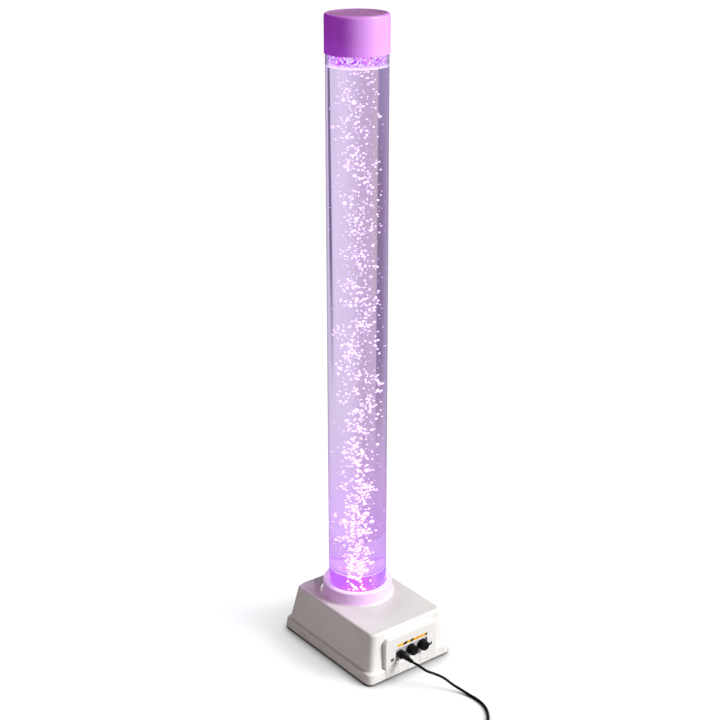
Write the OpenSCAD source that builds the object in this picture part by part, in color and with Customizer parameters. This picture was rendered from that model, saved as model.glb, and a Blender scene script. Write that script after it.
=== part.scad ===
// Bubble tube floor lamp: a tall water-filled clear tube that stands in a moulded base.
// The base holds the air pump, the lamp under the tube and the control panel.
// Millimetres. +Z is up, the control panel faces -Y and the floor is z = 0.
// The origin is the middle of the lamp's footprint, with the knobs counted in.

/* [Housing] */
// Length of the base from front to back, at the floor
housing_l = 248; // [240:1:300]
// Width of the base, at the floor
housing_w = 179; // [174:1:220]
// Height of the flat top above the floor
housing_h = 89.5; // [86:0.5:110]
// Thickness of the moulded walls
wall = 4; // [3:0.5:5]
// Height of the flange's top above the floor
flange_h = 21; // [18:0.5:24]
// Width of the ledge between the flange and the body
ledge_w = 5; // [3:0.5:7]
// How far the flange leans in over its height
flange_draft = 1.5; // [0.5:0.1:2.5]
// How far each side wall leans in over its height
side_draft = 7; // [3:0.5:9]
// How far the front wall leans in over its height
front_draft = 3; // [2:0.5:5]
// How far the rear wall leans in over its height
rear_draft = 15; // [6:0.5:18]
// Radius of the upright corners
corner_r = 12; // [9:0.5:16]
// Radius of the edge round the flat top
top_round = 4.5; // [3:0.5:6]
// Radius of the flange's upper edge
flange_round = 3; // [2:0.5:4]

/* [Collar] */
// Height of the collar above the flat top
collar_h = 24; // [18:0.5:34]
// Thickness of the collar's wall at its upper edge
collar_wall = 9.7; // [7:0.1:12]
// How much wider the collar is at its foot than at its top
collar_flare = 1; // [0.5:0.1:2]
// Radius of the fillet at the collar's foot
collar_fillet = 5; // [3:0.5:6]
// Radius of the collar's upper edge
collar_round = 2; // [1:0.5:3]
// How far the tube stands behind the middle of the base
tube_back = 23.5; // [16:0.5:26]

/* [Tube] */
// Outer diameter of the clear tube
tube_od = 100; // [90:1:104]
// Thickness of the tube's wall
tube_wall = 4; // [3:0.5:5]
// Clearance round the tube in its collar
tube_fit = 0.3; // [0.2:0.05:0.4]
// Overall height of the lamp
overall_h = 1090; // [600:10:1800]
// Distance from the water's surface up to the cap's lower edge
head_space = 19; // [8:1:60]
// Thickness of the clear disc bonded into the tube
disc_t = 30; // [20:1:36]
// How far the disc's upper face stands above the collar
disc_rise = 27.5; // [20:0.5:34]

/* [Bubbles] */
// Radius of the largest bubbles in the water
bubble_r = 2.6; // [1.2:0.1:2.7]
// Distance from one bubble up to the next
bubble_pitch = 5.8; // [5.7:0.1:20]
// How far the stream of bubbles spreads round its path
bubble_spread = 20; // [6:1:24]
// How far the stream's path swings from the tube's axis
bubble_swing = 8; // [0:1:12]

/* [Cap] */
// Outer diameter of the cap
cap_od = 103; // [102.6:0.2:110]
// Height of the cap
cap_h = 61; // [40:1:80]
// Thickness of the cap's top
cap_top_t = 3; // [2:0.5:5]
// Radius of the cap's upper edge
cap_round = 4.5; // [3:0.5:6]
// Clearance between the cap and the tube
cap_fit = 0.3; // [0.2:0.05:0.4]
// Height of the ring under the cap that enters the tube
spigot_h = 8; // [5:0.5:14]
// Radius of the vent hole in the cap
vent_r = 2; // [1.5:0.25:4]

/* [Control panel] */
// Width of the raised pad on the front
pad_w = 112; // [106:1:120]
// Sideways offset of the panel from the middle
panel_x = 2; // [-4:0.5:4]
// Distance from the flat top down to the pad's upper edge
pad_drop = 13; // [11:0.5:16]
// Thickness of the pad's face
pad_wall = 3; // [2.5:0.25:3.5]
// Height of the knobs' axes above the floor
control_z = 41; // [40:0.5:44]
// Distance between neighbouring controls
control_pitch = 24; // [22:0.5:26]
// Width of the window in the pad
window_w = 69; // [67:0.5:74]
// Distance from the controls' axes up to the window's upper edge
window_above = 11; // [10.5:0.25:12]
// Distance from the controls' axes down to the window's lower edge
window_below = 15.5; // [12:0.5:16]
// Thickness of the metal plate behind the window
plate_t = 2; // [1.5:0.25:2.5]
// Distance between the two panel screws
panel_screw_pitch = 84; // [82:0.5:88]
// Width of the legend strip
strip_w = 65; // [50:1:70]
// Height of the legend strip
strip_h = 4.8; // [3:0.1:6]

/* [Knobs] */
// Diameter of a knob at its skirt
knob_d = 19; // [16:0.5:20]
// Length of a knob
knob_l = 11; // [9:0.5:16]
// Number of grooves round a knob
knob_flutes = 18; // [12:1:24]
// Diameter of the shaft under a knob
shaft_d = 6; // [5:0.25:6.5]

/* [Feet] */
// Height that the feet hold the base off the floor
foot_h = 1.5; // [1:0.25:3]
// Diameter of a foot
foot_d = 18; // [12:1:20]

/* [Air line] */
// Outer diameter of the air hose
hose_d = 7; // [6.5:0.25:8]
// Inner diameter of the air hose
hose_bore = 4.6; // [4:0.1:5]
// Height of the pump's outlet above the floor
outlet_z = 30; // [28:0.5:34]
// Radius of the hose's bend under the tube
hose_bend = 28; // [24:0.5:30]
// Width of the air pump
pump_w = 66; // [60:1:74]
// Depth of the air pump
pump_depth = 46; // [42:1:48]

/* [Lamp] */
// Number of lamp chips on the round board
led_count = 12; // [6:1:16]
// Distance from the lamp board up to the clear disc
led_drop = 11; // [8:0.5:12]

/* [Cord] */
// Diameter of the low-voltage cord
cord_d = 4.5; // [4:0.1:5]
// Diameter of the plug's head
plug_d = 15; // [12:0.5:16]
// Length of the plug's head
plug_l = 8; // [6:0.5:9]

/* [Hidden] */
$fn = 96;

// Contact clearances
running_fit = 0.05;
loose_fit = 0.1;
cut = 1;

// How far the knobs stand in front of the pad, and the middle of the base that follows
knob_gap = 1;
knob_face_t = 2;
knob_front = knob_l + knob_gap - pad_wall;
base_y = knob_front / 2;
base_front = base_y - housing_l / 2;
base_rear = base_y + housing_l / 2;
tube_y = base_y + tube_back;

// Heights up the base
body_floor = foot_h;
plate_floor_t = 3.5;
floor_top = body_floor + plate_floor_t;
ceiling_z = housing_h - wall;
collar_top = housing_h + collar_h;
collar_r = tube_od / 2 + tube_fit + collar_wall;
sleeve_drop = 18;

// Insets of the body from the footprint, at its foot and at its top
foot_inset = flange_draft + ledge_w;
ledge_fillet = 1.5;
edge_soft = 0.8;
corner_steps = 8;

// Tube, disc, water and cap
tube_r = tube_od / 2;
bore_r = tube_r - tube_wall;
cap_foot = overall_h - cap_h;
tube_top = overall_h - cap_top_t;
water_top = cap_foot - head_space;
disc_top = collar_top + disc_rise;
disc_floor = disc_top - disc_t;
socket_lip = 3;
socket_wall = 4.5;
socket_h = 12;
socket_flange_r = tube_r + 15;
socket_screw_r = tube_r + 10;
tube_floor = floor_top + socket_lip;
seal_t = 2.4;
seal_h = 4;
seal_z = collar_top - 12;

// Stream of bubbles: one in each step up the water, on a path that swings in slow waves
bubble_skin = 0.1;
bubble_first = disc_top + bubble_pitch;
bubble_last = water_top - bubble_pitch;
bubble_turn = 137.5;
bubble_least = 0.55;
swing_least = 0.4;
swing_x = 5.6;
swing_y = 4.3;
reach_step = 0.618;
size_step = 0.755;

// Control panel
pad_top = housing_h - pad_drop;
pad_back = base_front + pad_wall;
plate_back = pad_back + plate_t;
pad_corner = 8;
pad_edge = 1.6;
window_top = control_z + window_above;
window_foot = control_z - window_below;
plate_margin = 4.6;
panel_plate_w = window_w + 30;
panel_screw_z = control_z - 5;
strip_foot = window_top + 4;
strip_shift = 2;
strip_t = 0.3;
pocket_foot = flange_h - 6;
jack_x = panel_x - control_pitch;
colour_x = panel_x;
bubble_x = panel_x + control_pitch;

// Pots and board
pot_r = 8;
pot_l = 8;
bushing_r = shaft_d / 2 + 0.6;
bushing_front = pad_back - 4;
nut_t = 2;
nut_r = 5.2;
board_front = plate_back + pot_l;
board_t = 1.6;
board_w = 96;
board_h = 40;
jack_r = 5.5;
jack_neck_r = 4;
jack_face_t = 1.5;
tip_r = 2.75;
tip_l = 9;
jack_side = 11;
jack_nut_t = 1.7;

// Screws
screw_r = 1.5;
screw_head_r = 3;
screw_head_t = 1.8;
post_r = 5;
post_x = housing_w / 2 - foot_inset - side_draft - 6;
post_front_y = base_front + foot_inset + front_draft + 10;
post_rear_y = base_rear - foot_inset - rear_draft - 10;
post_mid_y = tube_y - 34;
posts = [for (s = [-1, 1], y = [post_front_y, post_mid_y, post_rear_y]) [s * post_x, y]];
base_screw_l = 14;

// Feet
foot_sink = 1.5;
foot_x = post_x - 14;
feet = [for (s = [-1, 1], y = [post_front_y + 8, post_rear_y + 8]) [s * foot_x, y]];

// Pump and air line
pump_h = 42;
mount_h = 4;
mount_r = 5;
ear_x = pump_w / 2 + mount_r + 0.5;
pump_rear = tube_y - tube_r - 16;
pump_front = pump_rear - pump_depth;
pump_floor = floor_top + mount_h;
pump_lid_h = 12;
ear_t = 3;
ear_inset = 8;
ear_hole_r = 2;
pump_ears = [for (s = [-1, 1], y = [pump_front + ear_inset, pump_rear - ear_inset]) [s * ear_x, y]];
air_r = 1.2;
spigot_r = hose_bore / 2;
pump_spigot_l = 9;
hose_start = pump_rear + 1;
valve_foot = outlet_z + hose_bend + 2;
valve_l = 26;
valve_top = valve_foot + valve_l;
barb_l = 8;
nozzle_barb = disc_floor - 16;
nozzle_r = 5;
nozzle_depth = disc_t / 2;
skirt_hole_r = hose_d / 2 + 2;

// Lamp under the disc
board_ring_r = bore_r - 2.5;
board_hole_r = 14;
lamp_board_top = disc_floor - led_drop;
lamp_board_t = 1.6;
sink_t = 3;
lamp_board_foot = lamp_board_top - lamp_board_t;
sink_foot = lamp_board_foot - sink_t;
spacer_ring_r = board_ring_r - 6;
led_ring_r = board_ring_r - 15;
led_side = 5;
spacer_r = 3;

// Free cord: hand-chosen route from the plug to the floor, then out past the front
relief_l = 24.5;
relief_back_r = 5.2;
relief_front_r = 3.2;
plug_front = pad_back - jack_face_t;
relief_start = plug_front - plug_l;
relief_end = relief_start - relief_l;
cord_r = cord_d / 2;
coil_z = 3.4;
coil_centre = [-70, -400];
coil_r = 48;
coil_pitch = cord_d + 1.3;
coil_layer = cord_d + 0.7;
coil_in = 720;
coil_climb = 180;
coil_out = 695;
coil_start = 115;
coil_step = 15;
lead_route = [
    [jack_x, relief_end, control_z], [jack_x, relief_end - 2, control_z],
    [jack_x, relief_end - 5, control_z],
    [-20, -162, 40], [-18, -168, 38], [-13.5, -177, 34], [-3, -186, 28.5],
    [7, -196, 22.5], [17.5, -210, 11.5], [24.5, -222, 5.5], [28.5, -238, 2.6],
    [30, -256, 2.4], [27, -276, 2.4], [17, -295, 2.4], [2, -311, 2.4],
    [-18, -324, 2.6], [-40, -335, 3], [-62, -344.5, 3.3]
];
adapter = [60, 34, 28];
adapter_x = -24;
adapter_y = coil_centre[1] - coil_r;
adapter_relief_l = 12;
adapter_relief_r = 4;

// ---------- shared shapes ----------

// Outline of a rectangle with round corners, anticlockwise, as 2D points
function round_rect(x0, x1, y0, y1, r, steps) = [
    for (c = [[x1 - r, y1 - r, 0], [x0 + r, y1 - r, 90], [x0 + r, y0 + r, 180], [x1 - r, y0 + r, 270]])
        for (i = [0:steps])
            let (a = c[2] + 90 * i / steps)
                [c[0] + r * cos(a), c[1] + r * sin(a)]
];

// One level of the moulded housing: height, insets at side, front and rear, corner radius
function housing_ring(level) = [
    for (p = round_rect(
        -housing_w / 2 + level[1], housing_w / 2 - level[1],
        base_front + level[2], base_rear - level[3], level[4], corner_steps))
        [p[0], p[1], level[0]]
];

// Solid through a list of rings that all have the same number of points
module loft(rings) {
    n = len(rings[0]);
    m = len(rings);
    points = [for (ring = rings) each ring];
    sides = [
        for (k = [0:m - 2], j = [0:n - 1])
            let (a = k * n + j, b = k * n + (j + 1) % n)
                each [[a, a + n, b + n], [a, b + n, b]]
    ];
    foot = [[for (j = [0:n - 1]) j]];
    top = [[for (j = [n - 1:-1:0]) (m - 1) * n + j]];
    polyhedron(points, concat(foot, sides, top), convexity = 6);
}

// Tube of round section swept along points, with flat ends square to the first and last stretch
module sweep(path, r, sides) {
    last = len(path) - 1;
    rings = [
        for (i = [0:last])
            let (
                ahead = path[min(i + 1, last)] - path[max(i - 1, 0)],
                t = ahead / norm(ahead),
                across = cross(t, [0, 0, 1]),
                u = across / norm(across),
                v = cross(u, t)
            )
                [for (j = [0:sides - 1]) let (a = 360 * j / sides) path[i] + r * (cos(a) * u + sin(a) * v)]
    ];
    loft(rings);
}

// Smooth curve through hand-chosen points, with a set number of steps in each stretch
function curve(p, steps) = [
    for (i = [0:len(p) - 2])
        let (
            a = i == 0 ? 2 * p[0] - p[1] : p[i - 1],
            d = i == len(p) - 2 ? 2 * p[i + 1] - p[i] : p[i + 2]
        )
            for (s = [0:steps - (i == len(p) - 2 ? 0 : 1)])
                let (t = s / steps)
                    0.5 * (2 * p[i] + (p[i + 1] - a) * t
                        + (2 * a - 5 * p[i] + 4 * p[i + 1] - d) * t * t
                        + (3 * p[i] - a - 3 * p[i + 1] + d) * t * t * t)
];

// Ring with a true bore
module ring(outer, inner, h) {
    difference() {
        cylinder(h = h, r = outer);
        translate([0, 0, -cut])
            cylinder(h = h + 2 * cut, r = inner);
    }
}

// Copies its children to each place in a list of [x, y]
module at_each(places) {
    for (p = places)
        translate([p[0], p[1], 0])
            children();
}

// Copies its children round a circle
module round_circle(count, r, start = 0) {
    for (i = [0:count - 1])
        rotate([0, 0, start + 360 * i / count])
            translate([r, 0, 0])
                children();
}

// Turns a shape built along +Z so that it points out of the front, along -Y
module facing_front(x, y, z) {
    translate([x, y, z])
        rotate([90, 0, 0])
            children();
}

// Round-headed screw, head below z = 0 and shank above it
module screw(shank_l) {
    union() {
        translate([0, 0, -screw_head_t])
            cylinder(h = screw_head_t, r = screw_head_r, $fn = 32);
        cylinder(h = shank_l, r = screw_r - loose_fit / 2, $fn = 32);
    }
}

// ---------- moulded base ----------

// Outer form: soft foot edge, leaning flange, ledge with a fillet, drafted body and rounded top
module housing_form() {
    body_rise = housing_h - flange_h;
    flange_levels = [
        [body_floor, edge_soft, edge_soft, edge_soft, corner_r],
        [body_floor + edge_soft, 0, 0, 0, corner_r],
        for (a = [0:22.5:90])
            let (
                z = flange_h - flange_round * (1 - sin(a)),
                d = flange_draft * (z - body_floor) / (flange_h - body_floor) + flange_round * (1 - cos(a))
            )
                [z, d, d, d, corner_r - d / 2]
    ];
    fillet_levels = [
        for (a = [0:30:90])
            let (d = foot_inset - ledge_fillet * (1 - sin(a)), z = flange_h + ledge_fillet * (1 - cos(a)))
                [z, d, d, d, corner_r - 1]
    ];
    top_levels = [
        for (a = [0:18:90])
            let (
                z = housing_h - top_round * (1 - sin(a)),
                k = (z - flange_h) / body_rise,
                turn_in = top_round * (1 - cos(a)),
                e = foot_inset + turn_in
            )
                [z, e + side_draft * k, e + front_draft * k, e + rear_draft * k, corner_r - turn_in]
    ];
    loft([for (level = concat(flange_levels, fillet_levels, top_levels)) housing_ring(level)]);
}

// Hollow inside, one wall in from the outer form
module housing_hollow() {
    neck = foot_inset + wall;
    step_z = flange_h - wall;
    inner_r = corner_r - wall;
    loft([
        for (level = [
            [body_floor - cut, wall, wall, wall, inner_r],
            [floor_top + 0.5, wall, wall, wall, inner_r],
            [step_z - 2, wall + flange_draft, wall + flange_draft, wall + flange_draft, inner_r],
            [step_z, neck, neck, neck, inner_r],
            [ceiling_z, neck + side_draft, neck + front_draft, neck + rear_draft, inner_r]
        ]) housing_ring(level)
    ]);
}

// Raised pad on the front that carries the control panel
module pad_form() {
    left = panel_x - pad_w / 2;
    right = panel_x + pad_w / 2;
    depth = foot_inset + wall + front_draft;
    foot_z = body_floor + edge_soft;
    hull() {
        translate([0, base_front + pad_edge, 0])
            rotate([-90, 0, 0])
                linear_extrude(height = depth - pad_edge)
                    polygon([for (p = round_rect(left, right, -pad_top, -foot_z, pad_corner, 6)) p]);
        translate([0, base_front, 0])
            rotate([-90, 0, 0])
                linear_extrude(height = 0.1)
                    polygon(round_rect(
                        left + pad_edge, right - pad_edge, pad_edge - pad_top, -foot_z - pad_edge,
                        pad_corner - pad_edge, 6));
    }
}

// Collar round the tube with its flared wall, foot fillet and inner guide sleeve, as one profile
module collar_form() {
    foot_r = collar_r + collar_flare;
    skirt_r = foot_r + collar_fillet;
    sleeve_r = tube_r + tube_fit + wall;
    translate([0, tube_y, 0])
        rotate_extrude()
            polygon(concat(
                [[bore_r, ceiling_z - sleeve_drop], [sleeve_r, ceiling_z - sleeve_drop]],
                [[sleeve_r, ceiling_z], [skirt_r, ceiling_z], [skirt_r, housing_h]],
                [for (a = [0:15:90])
                    [skirt_r - collar_fillet * sin(a), housing_h + collar_fillet * (1 - cos(a))]],
                [for (a = [0:22.5:90])
                    [collar_r - collar_round * (1 - cos(a)), collar_top - collar_round * (1 - sin(a))]],
                [[bore_r, collar_top]]
            ));
}

// Post that takes one screw from under the base plate
module screw_post() {
    translate([0, 0, floor_top])
        cylinder(h = ceiling_z - floor_top + cut, r = post_r, $fn = 48);
}

// Everything that is cut out of the moulding after its posts are in
module housing_cuts() {
    translate([0, tube_y, ceiling_z - sleeve_drop - cut])
        cylinder(h = collar_h + wall + sleeve_drop + 2 * cut, r = tube_r + tube_fit);
    translate([0, tube_y, seal_z])
        cylinder(h = seal_h, r = tube_r + seal_t);
    at_each(posts)
        translate([0, 0, floor_top - cut])
            cylinder(h = base_screw_l + cut, r = screw_r, $fn = 32);
    translate([panel_x - window_w / 2, base_front - cut, window_foot])
        cube([window_w, pad_wall + 2 * cut, window_above + window_below]);
    for (s = [-1, 1])
        facing_front(panel_x + s * panel_screw_pitch / 2, pad_back + cut, panel_screw_z) {
            cylinder(h = pad_wall + 2 * cut, r = screw_r + loose_fit, $fn = 32);
            translate([0, 0, pad_wall + cut - screw_head_t - 0.4])
                cylinder(h = screw_head_t + 2 * cut, r = screw_head_r + loose_fit, $fn = 32);
        }
}

// Pocket behind the pad's face
module pad_pocket() {
    side = panel_x - pad_w / 2 + pad_wall;
    translate([side, pad_back, pocket_foot])
        cube([pad_w - 2 * pad_wall, foot_inset + wall + front_draft, pad_top - pad_wall - pocket_foot]);
}

module base_housing() {
    color("whitesmoke")
        difference() {
            union() {
                difference() {
                    union() {
                        housing_form();
                        pad_form();
                    }
                    housing_hollow();
                    pad_pocket();
                }
                collar_form();
                at_each(posts)
                    screw_post();
            }
            housing_cuts();
        }
}

// Flat plate that closes the base from below
module base_plate() {
    inset = wall + loose_fit;
    socket_thread = 2.5;
    color("dimgray")
        difference() {
            translate([0, 0, body_floor])
                linear_extrude(height = plate_floor_t)
                    polygon(round_rect(
                        inset - housing_w / 2, housing_w / 2 - inset, base_front + inset, base_rear - inset,
                        corner_r - wall, corner_steps));
            at_each(feet)
                translate([0, 0, body_floor - cut])
                    cylinder(h = foot_sink + cut, r = foot_d / 2 + loose_fit);
            at_each(posts) {
                translate([0, 0, body_floor - cut])
                    cylinder(h = screw_head_t + cut, r = screw_head_r + loose_fit, $fn = 32);
                translate([0, 0, body_floor - cut])
                    cylinder(h = plate_floor_t + 2 * cut, r = screw_r + loose_fit, $fn = 32);
            }
            translate([0, tube_y, 0])
                round_circle(4, socket_screw_r, 45)
                    translate([0, 0, floor_top - socket_thread])
                        cylinder(h = socket_thread + cut, r = screw_r, $fn = 32);
        }
}

module rubber_feet() {
    bevel = 0.5;
    color("black")
        at_each(feet)
            rotate_extrude()
                polygon([
                    [0, 0], [foot_d / 2 - bevel, 0], [foot_d / 2, bevel],
                    [foot_d / 2, foot_h + foot_sink], [0, foot_h + foot_sink]
                ]);
}

module base_screws() {
    color("silver")
        at_each(posts)
            translate([0, 0, body_floor + screw_head_t])
                screw(base_screw_l - 1);
}

// ---------- tube ----------

module water_tube() {
    color("lavender", 0.35)
        translate([0, tube_y, 0])
            difference() {
                translate([0, 0, tube_floor])
                    ring(tube_r, bore_r, tube_top - tube_floor);
                translate([0, 0, outlet_z])
                    rotate([90, 0, 0])
                        cylinder(h = tube_r + cut, r = skirt_hole_r, $fn = 48);
            }
}

// Ring on the base plate that the tube's skirt stands in
module tube_socket() {
    wall_r = tube_r + tube_fit;
    inner_r = bore_r - 6;
    taper = 1;
    color("gray")
        translate([0, tube_y, floor_top])
            difference() {
                rotate_extrude()
                    polygon([
                        [inner_r, 0], [socket_flange_r, 0], [socket_flange_r, socket_lip],
                        [wall_r + socket_wall, socket_lip], [wall_r + socket_wall - taper, socket_h],
                        [wall_r, socket_h], [wall_r, socket_lip], [inner_r, socket_lip]
                    ]);
                round_circle(4, socket_screw_r, 45)
                    translate([0, 0, -cut])
                        cylinder(h = socket_lip + 2 * cut, r = screw_r + loose_fit, $fn = 32);
            }
}

module socket_screws() {
    color("silver")
        translate([0, tube_y, floor_top + socket_lip])
            round_circle(4, socket_screw_r, 45)
                rotate([180, 0, 0])
                    screw(socket_lip + 2);
}

module tube_seal() {
    color("black")
        translate([0, tube_y, seal_z])
            ring(tube_r + seal_t, tube_r, seal_h);
}

// Clear disc bonded in the tube: carries the water, lets the light up and the air through
module base_disc() {
    hole_r = 1.5;
    screw_depth = 6;
    color("violet", 0.6)
        translate([0, tube_y, 0])
            difference() {
                translate([0, 0, disc_floor])
                    cylinder(h = disc_t, r = bore_r);
                translate([0, 0, disc_floor - cut])
                    cylinder(h = nozzle_depth + cut, r = nozzle_r, $fn = 48);
                translate([0, 0, disc_floor])
                    cylinder(h = disc_t + cut, r = hole_r, $fn = 32);
                round_circle(3, spacer_ring_r, 30)
                    translate([0, 0, disc_floor - cut])
                        cylinder(h = screw_depth + cut, r = screw_r + 0.5, $fn = 32);
            }
}

// Part of a number after its point
function fraction(x) = x - floor(x);

// Each bubble as [x, y, z, r]. It stands a golden angle round from the one below, at an uneven
// distance from the path, and the path's waves widen as they climb.
function bubble(i) =
    let (
        z = bubble_first + i * bubble_pitch,
        climb = (z - bubble_first) / (bubble_last - bubble_first),
        swing = bubble_swing * (swing_least + (1 - swing_least) * climb),
        reach = bubble_spread * fraction(i * reach_step),
        a = i * bubble_turn
    )
        [
            swing * sin(swing_x * i) + reach * cos(a),
            tube_y + swing * cos(swing_y * i) + reach * sin(a),
            z,
            bubble_r * (bubble_least + (1 - bubble_least) * fraction(i * size_step))
        ];
bubbles = [for (i = [0:1:floor((bubble_last - bubble_first) / bubble_pitch)]) bubble(i)];

// Balls at every bubble's place, larger than the bubbles by a margin
module bubble_balls(margin) {
    for (b = bubbles)
        translate([b[0], b[1], b[2]])
            sphere(r = b[3] + margin, $fn = 24);
}

// Water between the disc and its surface, with a hollow for each bubble
module water() {
    color("aliceblue", 0.3)
        difference() {
            translate([0, tube_y, disc_top])
                cylinder(h = water_top - disc_top, r = bore_r);
            bubble_balls(bubble_skin);
        }
}

// Air on its way up through the water
module air_bubbles() {
    color("white", 0.8)
        bubble_balls(0);
}

// Cap that drops over the tube: rounded top with a shallow stepped dish, thin skirt and inner ring
module top_cap() {
    cap_r = cap_od / 2;
    skirt_r = tube_r + cap_fit;
    spigot_out = bore_r - cap_fit;
    spigot_in = spigot_out - 2;
    dish_r = cap_r - cap_round - 3;
    step = 0.6;
    land = 6;
    color("plum")
        translate([0, tube_y, 0])
            rotate_extrude()
                polygon(concat(
                    [[vent_r, tube_top], [spigot_in, tube_top], [spigot_in, tube_top - spigot_h]],
                    [[spigot_out - 0.6, tube_top - spigot_h], [spigot_out, tube_top - spigot_h + 1]],
                    [[spigot_out, tube_top], [skirt_r, tube_top], [skirt_r, cap_foot + 0.6]],
                    [[skirt_r + 0.4, cap_foot], [cap_r - 0.3, cap_foot], [cap_r, cap_foot + 0.3]],
                    [for (a = [0:15:90])
                        [cap_r - cap_round * (1 - cos(a)), overall_h - cap_round * (1 - sin(a))]],
                    [[dish_r, overall_h], [dish_r - step, overall_h - step]],
                    [[dish_r - land, overall_h - step], [dish_r - land - step, overall_h - 2 * step]],
                    [[vent_r, overall_h - 2 * step]]
                ));
}

// ---------- lamp under the tube ----------

module lamp_holes(h) {
    round_circle(3, spacer_ring_r, 30)
        translate([0, 0, -cut])
            cylinder(h = h + 2 * cut, r = screw_r + loose_fit, $fn = 32);
}

// Finned aluminium ring that cools the lamp board
module heat_sink() {
    fin_pitch = 4;
    groove = 1.5;
    color("lightgray")
        translate([0, tube_y, sink_foot])
            difference() {
                ring(board_ring_r, board_hole_r, sink_t);
                for (r = [board_hole_r + fin_pitch:fin_pitch:spacer_ring_r - 1.5 * fin_pitch])
                    translate([0, 0, -cut])
                        ring(r + groove, r, groove + cut);
                lamp_holes(sink_t);
            }
}

module lamp_board() {
    color("white")
        translate([0, tube_y, lamp_board_foot])
            difference() {
                ring(board_ring_r, board_hole_r, lamp_board_t);
                lamp_holes(lamp_board_t);
            }
}

module lamp_chips() {
    chip_t = 1.2;
    dome_t = 0.8;
    dome_edge = 0.4;
    color("khaki")
        translate([0, tube_y, lamp_board_top])
            round_circle(led_count, led_ring_r, 90 / led_count)
                translate([-led_side / 2, -led_side / 2, 0]) {
                    cube([led_side, led_side, chip_t]);
                    translate([led_side / 2, led_side / 2, chip_t])
                        cylinder(h = dome_t, r1 = led_side / 2 - dome_edge, r2 = led_side / 4, $fn = 24);
                }
}

module lamp_spacers() {
    color("goldenrod")
        translate([0, tube_y, lamp_board_top])
            round_circle(3, spacer_ring_r, 30)
                ring(spacer_r, screw_r, led_drop);
}

module lamp_screws() {
    color("silver")
        translate([0, tube_y, sink_foot])
            round_circle(3, spacer_ring_r, 30)
                screw(lamp_board_top - sink_foot + led_drop - 1);
}

// ---------- air line ----------

// Lower shell of the pump with its outlet spigot and four mounting ears
module air_pump() {
    root = mount_r + 1;
    bore_l = pump_spigot_l + 6;
    color("darkslategray")
        difference() {
            union() {
                translate([-pump_w / 2, pump_front, pump_floor])
                    cube([pump_w, pump_depth, pump_h - pump_lid_h]);
                for (ear = pump_ears)
                    translate([ear[0], ear[1], pump_floor]) {
                        cylinder(h = ear_t, r = mount_r, $fn = 48);
                        translate([ear[0] > 0 ? -root : 0, -mount_r, 0])
                            cube([root, 2 * mount_r, ear_t]);
                    }
                translate([0, pump_rear + pump_spigot_l, outlet_z])
                    rotate([90, 0, 0])
                        cylinder(h = pump_spigot_l + cut, r = spigot_r, $fn = 48);
            }
            translate([0, pump_rear + pump_spigot_l + cut, outlet_z])
                rotate([90, 0, 0])
                    cylinder(h = bore_l, r = air_r, $fn = 32);
            at_each(pump_ears)
                translate([0, 0, pump_floor - cut])
                    cylinder(h = ear_t + 2 * cut, r = ear_hole_r, $fn = 32);
        }
}

// Ribbed upper shell of the pump
module pump_lid() {
    rib = 3;
    rib_pitch = 8;
    lid_z = pump_floor + pump_h - pump_lid_h;
    slab_h = pump_lid_h - rib;
    color("slategray")
        union() {
            translate([-pump_w / 2, pump_front, lid_z])
                cube([pump_w, pump_depth, slab_h]);
            for (x = [-pump_w / 2 + 2 * rib:rib_pitch:pump_w / 2 - rib_pitch])
                translate([x, pump_front + rib, lid_z + slab_h])
                    cube([rib, pump_depth - 2 * rib, rib]);
        }
}

// Rubber mounts that stop the pump's hum reaching the base
module pump_mounts() {
    head_r = 3.4;
    head_t = 2;
    color("black")
        at_each(pump_ears)
            translate([0, 0, floor_top]) {
                cylinder(h = mount_h, r = mount_r, $fn = 48);
                cylinder(h = mount_h + ear_t + head_t, r = ear_hole_r - loose_fit, $fn = 32);
                translate([0, 0, mount_h + ear_t])
                    cylinder(h = head_t, r = head_r, $fn = 32);
            }
}

// Hose from the pump: straight back through the tube's skirt, then a bend up to the valve
module lower_hose() {
    bend_y = tube_y - hose_bend;
    riser_l = 9;
    color("gainsboro")
        union() {
            translate([0, bend_y, outlet_z])
                rotate([90, 0, 0])
                    ring(hose_d / 2, spigot_r, bend_y - hose_start);
            translate([0, bend_y, outlet_z + hose_bend])
                rotate([0, 90, 0])
                    rotate_extrude(angle = 90)
                        translate([hose_bend, 0])
                            difference() {
                                circle(r = hose_d / 2, $fn = 32);
                                circle(r = spigot_r, $fn = 32);
                            }
            translate([0, tube_y, outlet_z + hose_bend])
                ring(hose_d / 2, spigot_r, riser_l);
        }
}

// Non-return valve that keeps the water out of the pump
module check_valve() {
    body_r = 7;
    edge = 1;
    middle = valve_l / 2;
    shoulder = valve_l - barb_l;
    color("ivory")
        translate([0, tube_y, valve_foot])
            rotate_extrude()
                polygon([
                    [air_r, 0], [spigot_r, 0], [spigot_r, barb_l], [body_r - edge, barb_l],
                    [body_r, barb_l + edge], [body_r, middle - edge], [body_r + edge, middle - edge],
                    [body_r + edge, middle + edge], [body_r, middle + edge], [body_r, shoulder - edge],
                    [body_r - edge, shoulder], [spigot_r, shoulder], [spigot_r, valve_l], [air_r, valve_l]
                ]);
}

module upper_hose() {
    foot_z = valve_top - barb_l + 0.5;
    color("gainsboro")
        translate([0, tube_y, foot_z])
            ring(hose_d / 2, spigot_r, nozzle_barb + 8 - foot_z);
}

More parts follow.
